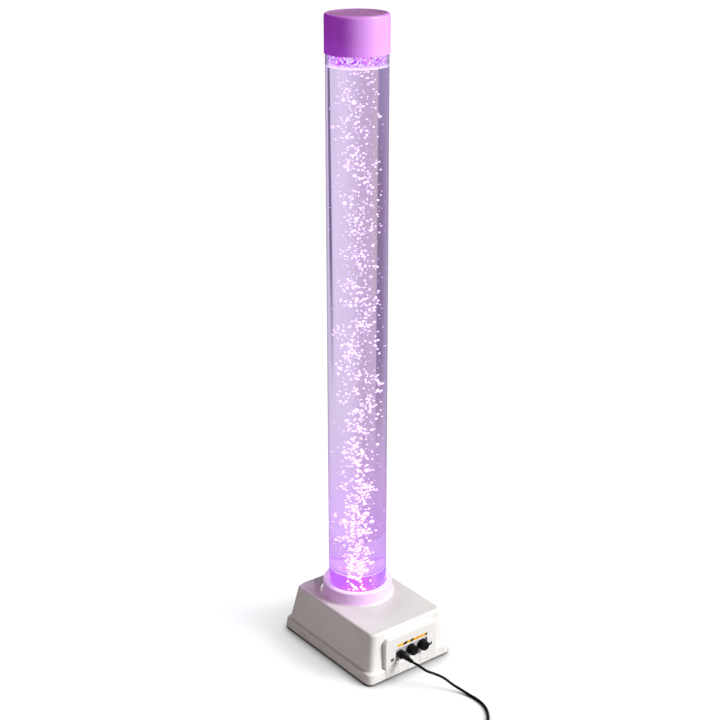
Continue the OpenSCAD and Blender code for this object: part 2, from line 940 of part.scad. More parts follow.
// Nozzle screwed into the disc from below
module air_nozzle() {
    hex_r = 7;
    hex_t = 4;
    color("silver")
        translate([0, tube_y, 0])
            difference() {
                union() {
                    translate([0, 0, nozzle_barb])
                        cylinder(h = disc_floor - nozzle_barb, r = spigot_r, $fn = 48);
                    translate([0, 0, disc_floor - hex_t])
                        cylinder(h = hex_t, r = hex_r, $fn = 6);
                    translate([0, 0, disc_floor - cut])
                        cylinder(h = nozzle_depth + cut, r = nozzle_r, $fn = 48);
                }
                translate([0, 0, nozzle_barb - cut])
                    cylinder(h = disc_top - nozzle_barb, r = air_r, $fn = 32);
            }
}

// ---------- control panel ----------

module control_plate() {
    foot_z = window_foot - plate_margin;
    color("silver")
        difference() {
            translate([panel_x - panel_plate_w / 2, pad_back, foot_z])
                cube([panel_plate_w, plate_t, window_above + window_below + 2 * plate_margin]);
            facing_front(jack_x, plate_back + cut, control_z)
                cylinder(h = plate_t + 2 * cut, r = jack_neck_r + loose_fit);
            for (x = [colour_x, bubble_x])
                facing_front(x, plate_back + cut, control_z)
                    cylinder(h = plate_t + 2 * cut, r = bushing_r + loose_fit);
            for (s = [-1, 1])
                facing_front(panel_x + s * panel_screw_pitch / 2, plate_back + cut, panel_screw_z)
                    cylinder(h = plate_t + 2 * cut, r = screw_r, $fn = 32);
        }
}

module panel_screws() {
    head_y = base_front + screw_head_t + 0.4;
    color("gray")
        for (s = [-1, 1])
            translate([panel_x + s * panel_screw_pitch / 2, head_y, panel_screw_z])
                rotate([-90, 0, 0])
                    screw(plate_back - head_y + 2);
}

module legend_strip() {
    color("orange")
        translate([panel_x + strip_shift - strip_w / 2, base_front - strip_t, strip_foot])
            cube([strip_w, strip_t, strip_h]);
}

// Potentiometer: round can behind the plate, threaded bushing through it
module pot(x) {
    shaft_bore = shaft_d / 2 + running_fit;
    color("dimgray")
        difference() {
            union() {
                facing_front(x, board_front, control_z)
                    cylinder(h = pot_l, r = pot_r);
                facing_front(x, plate_back + cut, control_z)
                    cylinder(h = plate_back - bushing_front + cut, r = bushing_r);
            }
            facing_front(x, board_front - 2, control_z)
                cylinder(h = board_front - bushing_front, r = shaft_bore);
        }
}

module colour_pot() {
    pot(colour_x);
}

module bubble_pot() {
    pot(bubble_x);
}

module pot_nuts() {
    color("silver")
        for (x = [colour_x, bubble_x])
            facing_front(x, pad_back, control_z)
                difference() {
                    cylinder(h = nut_t, r = nut_r, $fn = 6);
                    translate([0, 0, -cut])
                        cylinder(h = nut_t + 2 * cut, r = bushing_r);
                }
}

module shaft(x) {
    start = board_front - 2.5;
    color("silver")
        facing_front(x, start, control_z)
            cylinder(h = start - (pad_back - knob_gap - knob_l + knob_face_t), r = shaft_d / 2);
}

module colour_shaft() {
    shaft(colour_x);
}

module bubble_shaft() {
    shaft(bubble_x);
}

// Fluted knob: tapered body, grooves, recess over the nut and a blind hole for the shaft
module knob(x) {
    skirt_t = 1.6;
    flute_r = 0.8;
    flute_out = 0.25;
    edge = 1;
    dish = 0.5;
    rim = 1.4;
    back_r = knob_d / 2;
    front_r = back_r - 0.9;
    recess = pad_back - knob_gap - bushing_front + 0.8;
    color("black")
        facing_front(x, pad_back - knob_gap, control_z)
            difference() {
                rotate_extrude()
                    polygon([
                        [0, 0], [back_r, 0], [back_r, skirt_t], [back_r - 0.4, skirt_t + 0.4],
                        [front_r, knob_l - edge], [front_r - edge, knob_l], [front_r - edge - rim, knob_l],
                        [front_r - edge - rim - 0.6, knob_l - dish], [0, knob_l - dish]
                    ]);
                translate([0, 0, -cut])
                    cylinder(h = recess + cut, r = nut_r + 0.6);
                translate([0, 0, -cut])
                    cylinder(h = knob_l - knob_face_t + cut, r = shaft_d / 2);
                round_circle(knob_flutes, back_r + flute_out)
                    translate([0, 0, skirt_t + 0.4])
                        cylinder(h = knob_l, r = flute_r, $fn = 16);
            }
}

module colour_knob() {
    knob(colour_x);
}

module bubble_knob() {
    knob(bubble_x);
}

module control_board() {
    color("darkgreen")
        translate([panel_x - board_w / 2, board_front, control_z - board_h / 2])
            cube([board_w, board_t, board_h]);
}

// Parts on the back of the control board: driver chips, coil and capacitors
module board_parts() {
    back = board_front + board_t;
    chip = [12, 2.2, 9];
    block = [14, 7, 10];
    can_r = 4;
    can_l = 11;
    color("black")
        union() {
            for (x = [-36, -16, 8])
                translate([panel_x + x, back, control_z - 10])
                    cube(chip);
            for (x = [-36, 20])
                translate([panel_x + x, back, control_z + 4])
                    cube(block);
        }
    color("navy")
        for (x = [-8, 4])
            translate([panel_x + x, back, control_z + 9])
                rotate([-90, 0, 0])
                    cylinder(h = can_l, r = can_r, $fn = 32);
}

// Socket for the low-voltage plug: square back, round neck through the plate, round face
module power_jack() {
    block_y = plate_back + jack_nut_t + loose_fit;
    neck_l = plate_t + jack_nut_t + 2 * loose_fit;
    hole_l = tip_l + 0.4;
    color("black")
        difference() {
            union() {
                translate([jack_x - jack_side / 2, block_y, control_z - jack_side / 2])
                    cube([jack_side, board_front - block_y, jack_side]);
                facing_front(jack_x, pad_back + neck_l, control_z)
                    cylinder(h = neck_l + jack_face_t / 2, r = jack_neck_r);
                facing_front(jack_x, pad_back, control_z)
                    cylinder(h = jack_face_t, r = jack_r);
            }
            facing_front(jack_x, plug_front + hole_l, control_z)
                cylinder(h = hole_l + cut, r = tip_r + running_fit);
        }
}

module jack_nut() {
    nut_r = 6.4;
    color("silver")
        facing_front(jack_x, plate_back + jack_nut_t, control_z)
            difference() {
                cylinder(h = jack_nut_t, r = nut_r, $fn = 6);
                translate([0, 0, -cut])
                    cylinder(h = jack_nut_t + 2 * cut, r = jack_neck_r);
            }
}

// ---------- cord ----------

module plug_head() {
    color("black")
        facing_front(jack_x, plug_front, control_z)
            rotate_extrude()
                polygon([
                    [0, 0], [plug_d / 2 - 1, 0], [plug_d / 2, 1], [plug_d / 2, plug_l - 2],
                    [plug_d / 2 - 2, plug_l], [0, plug_l]
                ]);
}

module plug_tip() {
    pin_hole_r = 1.25;
    color("silver")
        facing_front(jack_x, plug_front + tip_l, control_z)
            ring(tip_r, pin_hole_r, tip_l);
}

// Tapered strain relief with its ring-shaped ribs
module plug_relief() {
    ribs = 7;
    plain = 2;
    step = (relief_l - 2 * plain) / ribs;
    deep = 0.7;
    slope = 0.3;
    groove = 0.8;
    function taper(z) = relief_back_r + (relief_front_r - relief_back_r) * z / relief_l;
    color("black")
        facing_front(jack_x, relief_start, control_z)
            rotate_extrude($fn = 48)
                polygon(concat(
                    [[0, 0], [relief_back_r, 0]],
                    [for (i = [0:ribs - 1])
                        let (z = plain + i * step, end = z + groove + slope)
                            each [
                                [taper(z), z], [taper(z) - deep, z + slope],
                                [taper(z) - deep, end], [taper(z), end + slope]
                            ]],
                    [[relief_front_r, relief_l], [0, relief_l]]
                ));
}

// A stub of three points in line keeps each end of the lead square to what it meets
module cord_lead() {
    entry = coil_start_point();
    route = concat(lead_route, [for (d = [6, 2, 0]) entry + d * coil_entry_back()]);
    color("black")
        sweep(curve(route, 3), cord_r, 8);
}

// Coil: two layers, spiralling in and then out again, with the climb where it turns back
function coil_angle(t) = coil_start + t;
function coil_radius(t) =
    t < coil_in ? coil_r - coil_pitch * t / 360
    : t < coil_in + coil_climb ? coil_r - coil_pitch * coil_in / 360
    : coil_r - coil_pitch * (coil_in - (t - coil_in - coil_climb)) / 360;
function coil_height(t) =
    coil_z + coil_layer * max(0, min(1, (t - coil_in) / coil_climb));
function coil_point(t) = [
    coil_centre[0] + coil_radius(t) * cos(coil_angle(t)),
    coil_centre[1] + coil_radius(t) * sin(coil_angle(t)),
    coil_height(t)
];
coil_total = coil_in + coil_climb + coil_out;
function coil_run(a, b) = (b - a) / norm(b - a);
function coil_entry_back() = coil_run(coil_point(coil_step), coil_point(0));
function coil_start_point() = coil_point(0) + cord_d * coil_entry_back();
function coil_exit() = coil_run(coil_point(coil_total - coil_step), coil_point(coil_total));
function coil_end_point() = coil_point(coil_total) + cord_d * coil_exit();
coil_path = concat(
    [coil_start_point()],
    [for (t = [0:coil_step:coil_total - 1]) coil_point(t)],
    [coil_point(coil_total), coil_end_point()]
);
coil_gap = min([
    for (i = [0:len(coil_path) - 1], j = [i + 12:1:len(coil_path) - 1])
        norm(coil_path[i] - coil_path[j])
]) - cord_d;
echo(coil_least_gap = coil_gap);

module cord_coil() {
    color("black")
        sweep(coil_path, cord_r, 6);
}

// Strap round the coiled turns
module coil_tie() {
    gap = 0.3;
    strap = 0.8;
    strap_w = 8;
    inner_x = coil_r - 2 * coil_pitch - cord_r - gap;
    outer_x = coil_r + cord_r + gap;
    low = coil_z - cord_r - gap;
    high = coil_z + coil_layer + cord_r + gap;
    color("black")
        translate([coil_centre[0], coil_centre[1], 0])
            rotate([0, 0, 10])
                difference() {
                    translate([inner_x - strap, -strap_w / 2, low - strap])
                        cube([outer_x - inner_x + 2 * strap, strap_w, high - low + 2 * strap]);
                    translate([inner_x, -strap_w / 2 - cut, low])
                        cube([outer_x - inner_x, strap_w + 2 * cut, high - low]);
                }
}

// Last stretch, from the coil up to the adapter
module cord_tail() {
    middle = adapter[2] / 2;
    end_x = adapter_x - adapter_relief_l;
    route = concat(
        [for (d = [0, 2, 5]) coil_end_point() + d * coil_exit()],
        [[end_x - 14, adapter_y, middle - 3]],
        [for (d = [5, 2, 0]) [end_x - d, adapter_y, middle]]
    );
    color("black")
        sweep(curve(route, 3), cord_r, 8);
}

module adapter_relief() {
    nose_r = 3;
    color("black")
        translate([adapter_x - adapter_relief_l, adapter_y, adapter[2] / 2])
            rotate([0, 90, 0])
                cylinder(h = adapter_relief_l, r1 = nose_r, r2 = adapter_relief_r);
}

// Wall adapter: box with soft edges, lying on its side
module adapter_shell() {
    soft = 3;
    levels = concat(
        [for (a = [0:30:90]) [soft * (1 - cos(a)), soft * (1 - sin(a))]],
        [for (a = [90:-30:0]) [adapter[2] - soft * (1 - cos(a)), soft * (1 - sin(a))]]
    );
    color("black")
        translate([adapter_x, adapter_y - adapter[1] / 2, 0])
            loft([
                for (level = levels)
                    let (e = level[1])
                        [for (p = round_rect(e, adapter[0] - e, e, adapter[1] - e, soft + 2 - e, 4))
                            [p[0], p[1], level[0]]]
            ]);
}

module adapter_blades() {
    blade = [1.5, 16, 6.4];
    blade_pitch = 12.7;
    middle = adapter_x + adapter[0] / 2;
    color("silver")
        for (s = [-1, 1])
            translate([
                middle + s * blade_pitch / 2 - blade[0] / 2,
                adapter_y - adapter[1] / 2 - blade[1],
                (adapter[2] - blade[2]) / 2
            ])
                cube(blade);
}

base_housing();
base_plate();
rubber_feet();
base_screws();
water_tube();
tube_socket();
socket_screws();
tube_seal();
base_disc();
water();
air_bubbles();
top_cap();
heat_sink();
lamp_board();
lamp_chips();
lamp_spacers();
lamp_screws();
air_pump();
pump_lid();
pump_mounts();
lower_hose();
check_valve();
upper_hose();
air_nozzle();
control_plate();
panel_screws();
legend_strip();
colour_pot();
bubble_pot();
pot_nuts();
colour_shaft();
bubble_shaft();
colour_knob();
bubble_knob();
control_board();
board_parts();
power_jack();
jack_nut();
plug_head();
plug_tip();
plug_relief();
cord_lead();
cord_coil();
coil_tie();
cord_tail();
adapter_relief();
adapter_shell();
adapter_blades();
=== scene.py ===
"""Looks of a bubble tube floor lamp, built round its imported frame.

All sizes are in metres in the frame's own axes: +Z is up, the control panel faces -Y and the floor is
z = 0.  Each sub-assembly is a class that holds its sizes, builds its meshes and dresses them.  Shapes are
grids of points worked out with numpy, and finishes are small classes that build a material's nodes.
"""

import logging
import math
from dataclasses import dataclass, field
from enum import Enum
from functools import cache
from typing import Iterable, Sequence

import bmesh
import bpy
import numpy as np
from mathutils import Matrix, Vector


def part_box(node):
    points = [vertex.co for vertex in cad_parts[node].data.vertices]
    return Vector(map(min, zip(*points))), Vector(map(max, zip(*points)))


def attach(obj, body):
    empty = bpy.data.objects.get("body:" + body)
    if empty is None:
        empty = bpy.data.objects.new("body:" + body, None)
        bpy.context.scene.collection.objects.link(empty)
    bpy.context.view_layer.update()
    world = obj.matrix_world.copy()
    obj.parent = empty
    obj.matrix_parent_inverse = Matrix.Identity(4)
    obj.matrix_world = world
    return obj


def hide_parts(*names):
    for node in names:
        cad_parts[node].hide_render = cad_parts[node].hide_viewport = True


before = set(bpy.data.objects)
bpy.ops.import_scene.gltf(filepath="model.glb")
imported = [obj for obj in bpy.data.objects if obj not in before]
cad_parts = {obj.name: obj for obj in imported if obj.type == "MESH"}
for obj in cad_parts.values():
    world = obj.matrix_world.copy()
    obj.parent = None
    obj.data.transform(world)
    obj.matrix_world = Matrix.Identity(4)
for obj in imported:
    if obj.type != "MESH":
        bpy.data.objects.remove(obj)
LOG = logging.getLogger("bubble_tube_lamp")

Array = np.ndarray
Colour = tuple[float, float, float]
Point = tuple[float, float, float]
Run = tuple[float, float]  # where a change starts and where it ends
Socket = bpy.types.NodeSocket
Piece = bpy.types.Object

FULL_TURN = 2 * math.pi
QUARTER = math.pi / 2
NO_LIGHT: Colour = (0.0, 0.0, 0.0)
WHITE_LIGHT: Colour = (1.0, 1.0, 1.0)
SURROUND: Colour = (0.70, 0.63, 0.75)  # what shows far behind the clear tube


# ---------- places taken from the frame ----------


@dataclass(frozen=True)
class Extent:
    """Lowest and highest corner of a frame node at rest."""

    low: Array
    high: Array

    @classmethod
    def of(cls, node: str) -> "Extent":
        """Reads a node's box from the frame."""
        low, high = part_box(node)
        return cls(np.array(low), np.array(high))

    @property
    def centre(self) -> Array:
        """Middle of the box."""
        return (self.low + self.high) / 2

    @property
    def size(self) -> Array:
        """Length of the box along each axis."""
        return self.high - self.low


class Body(Enum):
    """Bodies of the frame that a piece can ride on."""

    BASE = "base"
    CAP = "cap"
    COLOUR_CONTROL = "colour_control"
    BUBBLE_CONTROL = "bubble_control"


# ---------- meshes from numpy grids ----------


class Facing(Enum):
    """Which way a shape that is worked out along its own +Z points on the lamp."""

    UP = "up"
    FRONT = "front"

    def place(self, local: Array) -> Array:
        """Turns points from a shape's own axes to the lamp's.

        FRONT sends x, y, z to x, -z, y, so the shape's +Z points out of the front, along -Y.

        Args:
            local: Points with their three coordinates in the last axis.

        Returns:
            The turned points.
        """
        if self is Facing.UP:
            return local
        return np.stack([local[..., 0], -local[..., 2], local[..., 1]], axis=-1)


def to_mesh(name: str, points: Array, faces: Sequence[Array]) -> Piece:
    """Puts points and faces into a new mesh object at the origin.

    Args:
        name: Name of the object and its mesh.
        points: Vertex places, one row of three each.
        faces: Arrays of vertex numbers, each with one row for each face of that many sides.

    Returns:
        The object, linked to the scene.
    """
    faces = [np.atleast_2d(group) for group in faces if np.size(group)]
    sides = np.concatenate([np.full(len(group), group.shape[1]) for group in faces])
    mesh = bpy.data.meshes.new(name)
    mesh.vertices.add(len(points))
    mesh.vertices.foreach_set("co", np.asarray(points, dtype=np.float32).ravel())
    mesh.loops.add(int(sides.sum()))
    mesh.loops.foreach_set("vertex_index", np.concatenate([g.ravel() for g in faces]).astype(np.int32))
    mesh.polygons.add(len(sides))
    mesh.polygons.foreach_set("loop_start", (np.cumsum(sides) - sides).astype(np.int32))
    mesh.update(calc_edges=True)
    mesh.validate()
    piece = bpy.data.objects.new(name, mesh)
    bpy.context.scene.collection.objects.link(piece)
    return piece


def skin(name: str, grid: Array, closed: bool = False, capped: bool = True) -> Piece:
    """Closes a grid of points into a surface that faces outwards.

    A row of the grid is a ring that runs anticlockwise, and the rows climb.  Each face joins a point to
    the next one in its ring and to the two above them.

    Args:
        name: Name of the piece.
        grid: Points in rings, of shape (rings, points in a ring, 3).
        closed: Joins the last ring to the first.
        capped: Puts a face over the first ring and over the last.

    Returns:
        The piece, with coinciding points merged.
    """
    number = np.arange(grid.shape[0] * grid.shape[1]).reshape(grid.shape[:2])
    if closed:
        number = np.vstack([number, number[:1]])
    ahead = np.roll(number, -1, axis=1)
    quads = np.stack([number[:-1], ahead[:-1], ahead[1:], number[1:]], axis=2).reshape(-1, 4)
    ends = [] if closed or not capped else [number[0, ::-1], number[-1]]
    piece = to_mesh(name, grid.reshape(-1, 3), [quads, *ends])
    merge(piece)
    return piece


def merge(piece: Piece, reach: float = 1e-7) -> None:
    """Merges the points of a piece that coincide, which closes its poles.

    Args:
        piece: The piece to change.
        reach: Largest distance between merged points.
    """
    work = bmesh.new()
    work.from_mesh(piece.data)
    bmesh.ops.remove_doubles(work, verts=work.verts, dist=reach)
    work.to_mesh(piece.data)
    work.free()


def turned(name: str, profile: Array, centre: Array, steps: int = 96, facing: Facing = Facing.UP) -> Piece:
    """Turns a profile round an axis.

    The point (r, h) of the profile goes to (r cos a, r sin a, h) for angles a round a full turn.  A
    profile that starts and ends on the axis is closed by its poles, and any other by its own ends.

    Args:
        name: Name of the piece.
        profile: Points of radius and height, rising where they are on the outside.
        centre: Place of the profile's zero height on the axis.
        steps: Number of angles.
        facing: Direction of the axis.

    Returns:
        The piece.
    """
    radius, height = np.asarray(profile, dtype=float).T
    angle = np.linspace(0, FULL_TURN, steps, endpoint=False)
    tall = np.repeat(height[:, None], steps, axis=1)
    around = np.stack([np.outer(radius, np.cos(angle)), np.outer(radius, np.sin(angle)), tall], axis=2)
    on_axis = radius[0] == 0 and radius[-1] == 0
    return skin(name, facing.place(around) + centre, closed=not on_axis, capped=False)


def arc(centre: tuple[float, float], radius: float, start: float, end: float, steps: int = 8) -> Array:
    """Points of a circular arc, as rows of two.

    Args:
        centre: Middle of the arc.
        radius: Its radius.
        start: First angle, in degrees from the first axis.
        end: Last angle, in degrees.
        steps: Number of stretches.

    Returns:
        Points centre + radius (cos a, sin a) for evenly spaced angles a.
    """
    angle = np.radians(np.linspace(start, end, steps + 1))
    return np.stack([centre[0] + radius * np.cos(angle), centre[1] + radius * np.sin(angle)], axis=1)


def round_rects(low: Array, high: Array, radius: Array, steps: int = 10) -> Array:
    """Outlines of rectangles with round corners, anticlockwise, one for each row of the inputs.

    Each corner is the quarter circle of its radius about the point one radius in from both sides.

    Args:
        low: Lowest x and y of each rectangle, of shape (rows, 2).
        high: Highest x and y of each rectangle.
        radius: Corner radius of each rectangle.
        steps: Number of stretches in each corner.

    Returns:
        Points of shape (rows, 4 (steps + 1), 2).
    """
    low, high = np.atleast_2d(low), np.atleast_2d(high)
    radius = np.broadcast_to(np.asarray(radius, dtype=float), len(low))[:, None]
    left, right = low[:, :1] + radius, high[:, :1] - radius
    foot, top = low[:, 1:] + radius, high[:, 1:] - radius
    x = np.hstack([right, left, left, right])[:, :, None]
    y = np.hstack([top, top, foot, foot])[:, :, None]
    angle = np.linspace(0, QUARTER, steps + 1)[None, :] + QUARTER * np.arange(4)[:, None]
    reach = radius[:, :, None]
    return np.stack([x + reach * np.cos(angle), y + reach * np.sin(angle)], axis=3).reshape(len(low), -1, 2)


def levels(outlines: Array, heights: Array) -> Array:
    """Adds a height to each outline.

    Args:
        outlines: Points of shape (rows, points, 2).
        heights: Height of each row.

    Returns:
        Points of shape (rows, points, 3).
    """
    tall = np.broadcast_to(np.asarray(heights)[:, None, None], outlines.shape[:2] + (1,))
    return np.concatenate([outlines, tall], axis=2)


class Combine(Enum):
    """How a second solid changes a first."""

    ADD = "UNION"
    CUT = "DIFFERENCE"


def combine(target: Piece, tool: Piece, how: Combine) -> None:
    """Adds a solid to another or cuts it away, and deletes it.

    Args:
        target: The piece that is kept.
        tool: The solid that is used up.
        how: Whether the tool is added or cut away.
    """
    step = target.modifiers.new("combine", "BOOLEAN")
    step.operation = how.value
    step.solver = "MANIFOLD"
    step.object = tool
    shaped = target.evaluated_get(bpy.context.evaluated_depsgraph_get())
    result = bpy.data.meshes.new_from_object(shaped)
    target.modifiers.clear()
    spent = [target.data, tool.data]
    target.data = result
    result.name = target.name
    bpy.data.objects.remove(tool)
    for mesh in spent:
        bpy.data.meshes.remove(mesh)


def soften(piece: Piece, sharpest: float = 32.0, weighted: bool = True) -> None:
    """Shades a piece smoothly up to an angle, with wide faces keeping their own direction.

    Args:
        piece: The piece to shade.
        sharpest: Largest angle between faces, in degrees, that is shaded smoothly.
        weighted: Lets wide faces decide the shading along their edges.
    """
    piece.data.shade_smooth()
    piece.data.set_sharp_from_angle(angle=math.radians(sharpest))
    if weighted:
        piece.modifiers.new("faces", "WEIGHTED_NORMAL").keep_sharp = True


# ---------- material graphs ----------


class Graph:
    """Short way to write a material's nodes."""

    def __init__(self, tree: bpy.types.NodeTree) -> None:
        """Empties a node tree and keeps it for the methods below."""
        self.tree = tree
        tree.nodes.clear()

    def node(self, kind: str, inputs: dict | None = None, **settings: object) -> bpy.types.Node:
        """Adds a node.

        Args:
            kind: Type of the node, without the words ShaderNode.
            inputs: Value or socket for each input, by name or number.
            settings: Properties of the node.

        Returns:
            The node.
        """
        made = self.tree.nodes.new("ShaderNode" + kind)
        for key, value in settings.items():
            setattr(made, key, value)
        for key, value in (inputs or {}).items():
            self.feed(made, key, value)
        return made

    def feed(self, node: bpy.types.Node, key: str | int, value: object) -> None:
        """Links a socket to a node's input, or sets the input to a value.

        Args:
            node: The node.
            key: Name or number of the input.
            value: A socket, a number, or a colour of three numbers.
        """
        socket = node.inputs[key]
        if isinstance(value, bpy.types.NodeSocket):
            self.tree.links.new(value, socket)
        elif isinstance(value, (tuple, list)) and len(value) == 3 and socket.type == "RGBA":
            socket.default_value = (*value, 1.0)
        else:
            socket.default_value = value

    def place(self) -> Socket:
        """Place on the object, in the lamp's own metres."""
        return self.node("TexCoord").outputs["Object"]

    def part(self, vector: Socket, axis: str) -> Socket:
        """One coordinate of a vector: X, Y or Z."""
        return self.node("SeparateXYZ", {0: vector}).outputs[axis]

    def maths(self, operation: str, first: object, second: object = 0.0, clamp: bool = False) -> Socket:
        """Result of a Math node on one or two values."""
        return self.node("Math", {0: first, 1: second}, operation=operation, use_clamp=clamp).outputs[0]

    def times(self, first: object, *others: object) -> object:
        """Product of two or more values."""
        for other in others:
            first = self.maths("MULTIPLY", first, other)
        return first

    def vector(self, operation: str, first: Socket, second: Point) -> Socket:
        """Vector from a Vector Math node on a vector and a constant one."""
        return self.node("VectorMath", {0: first, 1: second}, operation=operation).outputs[0]

    def stretched(self, place: Socket, scale: Point) -> Socket:
        """Place with each coordinate multiplied by its own number."""
        return self.node("Mapping", {"Vector": place, "Scale": scale}).outputs[0]

    def noise(self, place: Socket, scale: float, detail: float = 2.0, rough: float = 0.5) -> Socket:
        """Value of a Noise texture, with the given bumps to a metre."""
        inputs = {"Vector": place, "Scale": scale, "Detail": detail, "Roughness": rough}
        return self.node("TexNoise", inputs).outputs[0]

    def cells(self, place: Socket, scale: float) -> Socket:
        """Distance to the nearest point of a Voronoi texture."""
        return self.node("TexVoronoi", {"Vector": place, "Scale": scale}).outputs["Distance"]

    def span(
        self, value: Socket, start: float, end: float, low: float = 0.0, high: float = 1.0, soft: bool = False
    ) -> Socket:
        """Takes a value's run from start to end to the run from low to high, and holds it beyond.

        Args:
            value: The value.
            start: Value that gives low.
            end: Value that gives high.
            low: Result at start.
            high: Result at end.
            soft: Eases the run at both ends.

        Returns:
            The result.
        """
        inputs = {"Value": value, "From Min": start, "From Max": end, "To Min": low, "To Max": high}
        kind = "SMOOTHSTEP" if soft else "LINEAR"
        return self.node("MapRange", inputs, interpolation_type=kind).outputs["Result"]

    def mix(self, factor: object, first: object, second: object) -> Socket:
        """Colour from first to second by a factor, the share of the second."""
        return self.node("Mix", {0: factor, 6: first, 7: second}, data_type="RGBA").outputs[2]

    def bump(self, height: Socket, depth: float) -> Socket:
        """Normal of a surface with a fine relief of the given depth in metres."""
        return self.node("Bump", {"Height": height, "Distance": depth}).outputs[0]

    def dot(self, vector: Socket, along: Point) -> Socket:
        """Length of a vector along a direction."""
        return self.node("VectorMath", {0: vector, 1: along}, operation="DOT_PRODUCT").outputs["Value"]

    def from_axis(self, place: Socket, middle: float) -> Socket:
        """Distance from the upright axis through x = 0 and y = middle."""
        level = self.vector("MULTIPLY", self.vector("SUBTRACT", place, (0.0, middle, 0.0)), (1.0, 1.0, 0.0))
        return self.node("VectorMath", {0: level}, operation="LENGTH").outputs["Value"]

    def principled(self, **inputs: object) -> Socket:
        """Principled shader with its inputs given by name, with _ for each space."""
        named = {key.replace("_", " "): value for key, value in inputs.items()}
        return self.node("BsdfPrincipled", named).outputs[0]

    def diffuse(self, colour: object) -> Socket:
        """Matt shader of a colour."""
        return self.node("BsdfDiffuse", {"Color": colour}).outputs[0]

    def emission(self, colour: object, strength: object) -> Socket:
        """Shader that gives out light of a colour."""
        return self.node("Emission", {"Color": colour, "Strength": strength}).outputs[0]

    def blend(self, share: Socket, first: Socket, second: Socket) -> Socket:
        """Shader from first to second by a share."""
        return self.node("MixShader", {0: share, 1: first, 2: second}).outputs[0]

    def finish(self, shader: Socket) -> None:
        """Sends a shader to the surface."""
        self.node("OutputMaterial", {"Surface": shader})


@dataclass(frozen=True)
class Finish:
    """A surface finish.  Its name is the material's, and a kind of finish fills in build."""

    name: str

    def build(self, graph: Graph) -> Socket:
        """Builds the nodes.

        Args:
            graph: The material's graph.

        Returns:
            The shader.
        """
        raise NotImplementedError

    def tune(self, material: bpy.types.Material) -> None:
        """Sets what belongs to the material and not to its nodes."""


@dataclass(frozen=True)
class QuietGlow(Finish):
    """A finish that glows without being one of the lamps, which would make the picture grainy."""

    def tune(self, material: bpy.types.Material) -> None:
        """Keeps the finish out of the list of lamps."""
        material.cycles.emission_sampling = "NONE"


@cache
def material_of(finish: Finish) -> bpy.types.Material:
    """Material of a finish, made once.

    Args:
        finish: The finish.

    Returns:
        Its material.
    """
    material = bpy.data.materials.new(finish.name)
    material.use_nodes = True
    graph = Graph(material.node_tree)
    graph.finish(finish.build(graph))
    finish.tune(material)
    return material


@dataclass(frozen=True)
class Moulded(Finish):
    """Moulded plastic or rubber: faint mottling, a fine grain and a gloss that wanders."""

    colour: Colour
    gloss: float = 0.4
    mottle: float = 0.06
    grain: float = 1400.0
    depth: float = 0.00002
    coat: float = 0.0
    shine: float = 0.5

    def build(self, graph: Graph) -> Socket:
        """Builds the nodes.

        Args:
            graph: The material's graph.

        Returns:
            The shader.
        """
        place = graph.place()
        broad = graph.noise(place, 55.0, 3.0)
        darker = tuple(channel * (1 - self.mottle) for channel in self.colour)
        lighter = tuple(min(1.0, channel * (1 + self.mottle)) for channel in self.colour)
        rough = graph.span(graph.noise(place, 130.0, 4.0), 0.3, 0.7, self.gloss - 0.06, self.gloss + 0.08)
        return graph.principled(
            Base_Color=graph.mix(graph.span(broad, 0.35, 0.65), darker, lighter),
            Roughness=rough,
            Normal=graph.bump(graph.noise(place, self.grain, 2.0), self.depth),
            Specular_IOR_Level=self.shine,
            Coat_Weight=self.coat,
            Coat_Roughness=0.12,
        )


@dataclass(frozen=True)
class Metal(Finish):
    """Metal with fine scratches that run along the larger stretch."""

    colour: Colour
    gloss: float = 0.3
    stretch: Colour = (40.0, 1200.0, 1200.0)
    metallic: float = 1.0

    def build(self, graph: Graph) -> Socket:
        """Builds the nodes.

        Args:
            graph: The material's graph.

        Returns:
            The shader.
        """
        place = graph.place()
        scratches = graph.noise(graph.stretched(place, self.stretch), 1.0, 3.0, 0.6)
        stains = graph.noise(place, 90.0, 4.0)
        darker = tuple(channel * 0.82 for channel in self.colour)
        return graph.principled(
            Base_Color=graph.mix(graph.span(stains, 0.4, 0.7), self.colour, darker),
            Metallic=self.metallic,
            Roughness=graph.span(scratches, 0.3, 0.7, self.gloss - 0.08, self.gloss + 0.12),
            Normal=graph.bump(scratches, 0.00001),
        )


@dataclass(frozen=True)
class Circuit(Finish):
    """Circuit board: lacquer over a faint grid of tracks."""

    colour: Colour
    tracks: Colour
    pitch: float = 0.0025

    def build(self, graph: Graph) -> Socket:
        """Builds the nodes.

        Args:
            graph: The material's graph.

        Returns:
            The shader.
        """
        place = graph.place()
        grid = graph.node("TexBrick", {"Vector": place, "Scale": 1 / self.pitch / 4}).outputs["Fac"]
        wide = graph.noise(place, 160.0, 3.0)
        share = graph.maths("MULTIPLY", grid, graph.span(wide, 0.4, 0.6))
        return graph.principled(
            Base_Color=graph.mix(share, self.colour, self.tracks),
            Roughness=graph.span(wide, 0.3, 0.7, 0.22, 0.38),
            Normal=graph.bump(share, 0.00003),
        )


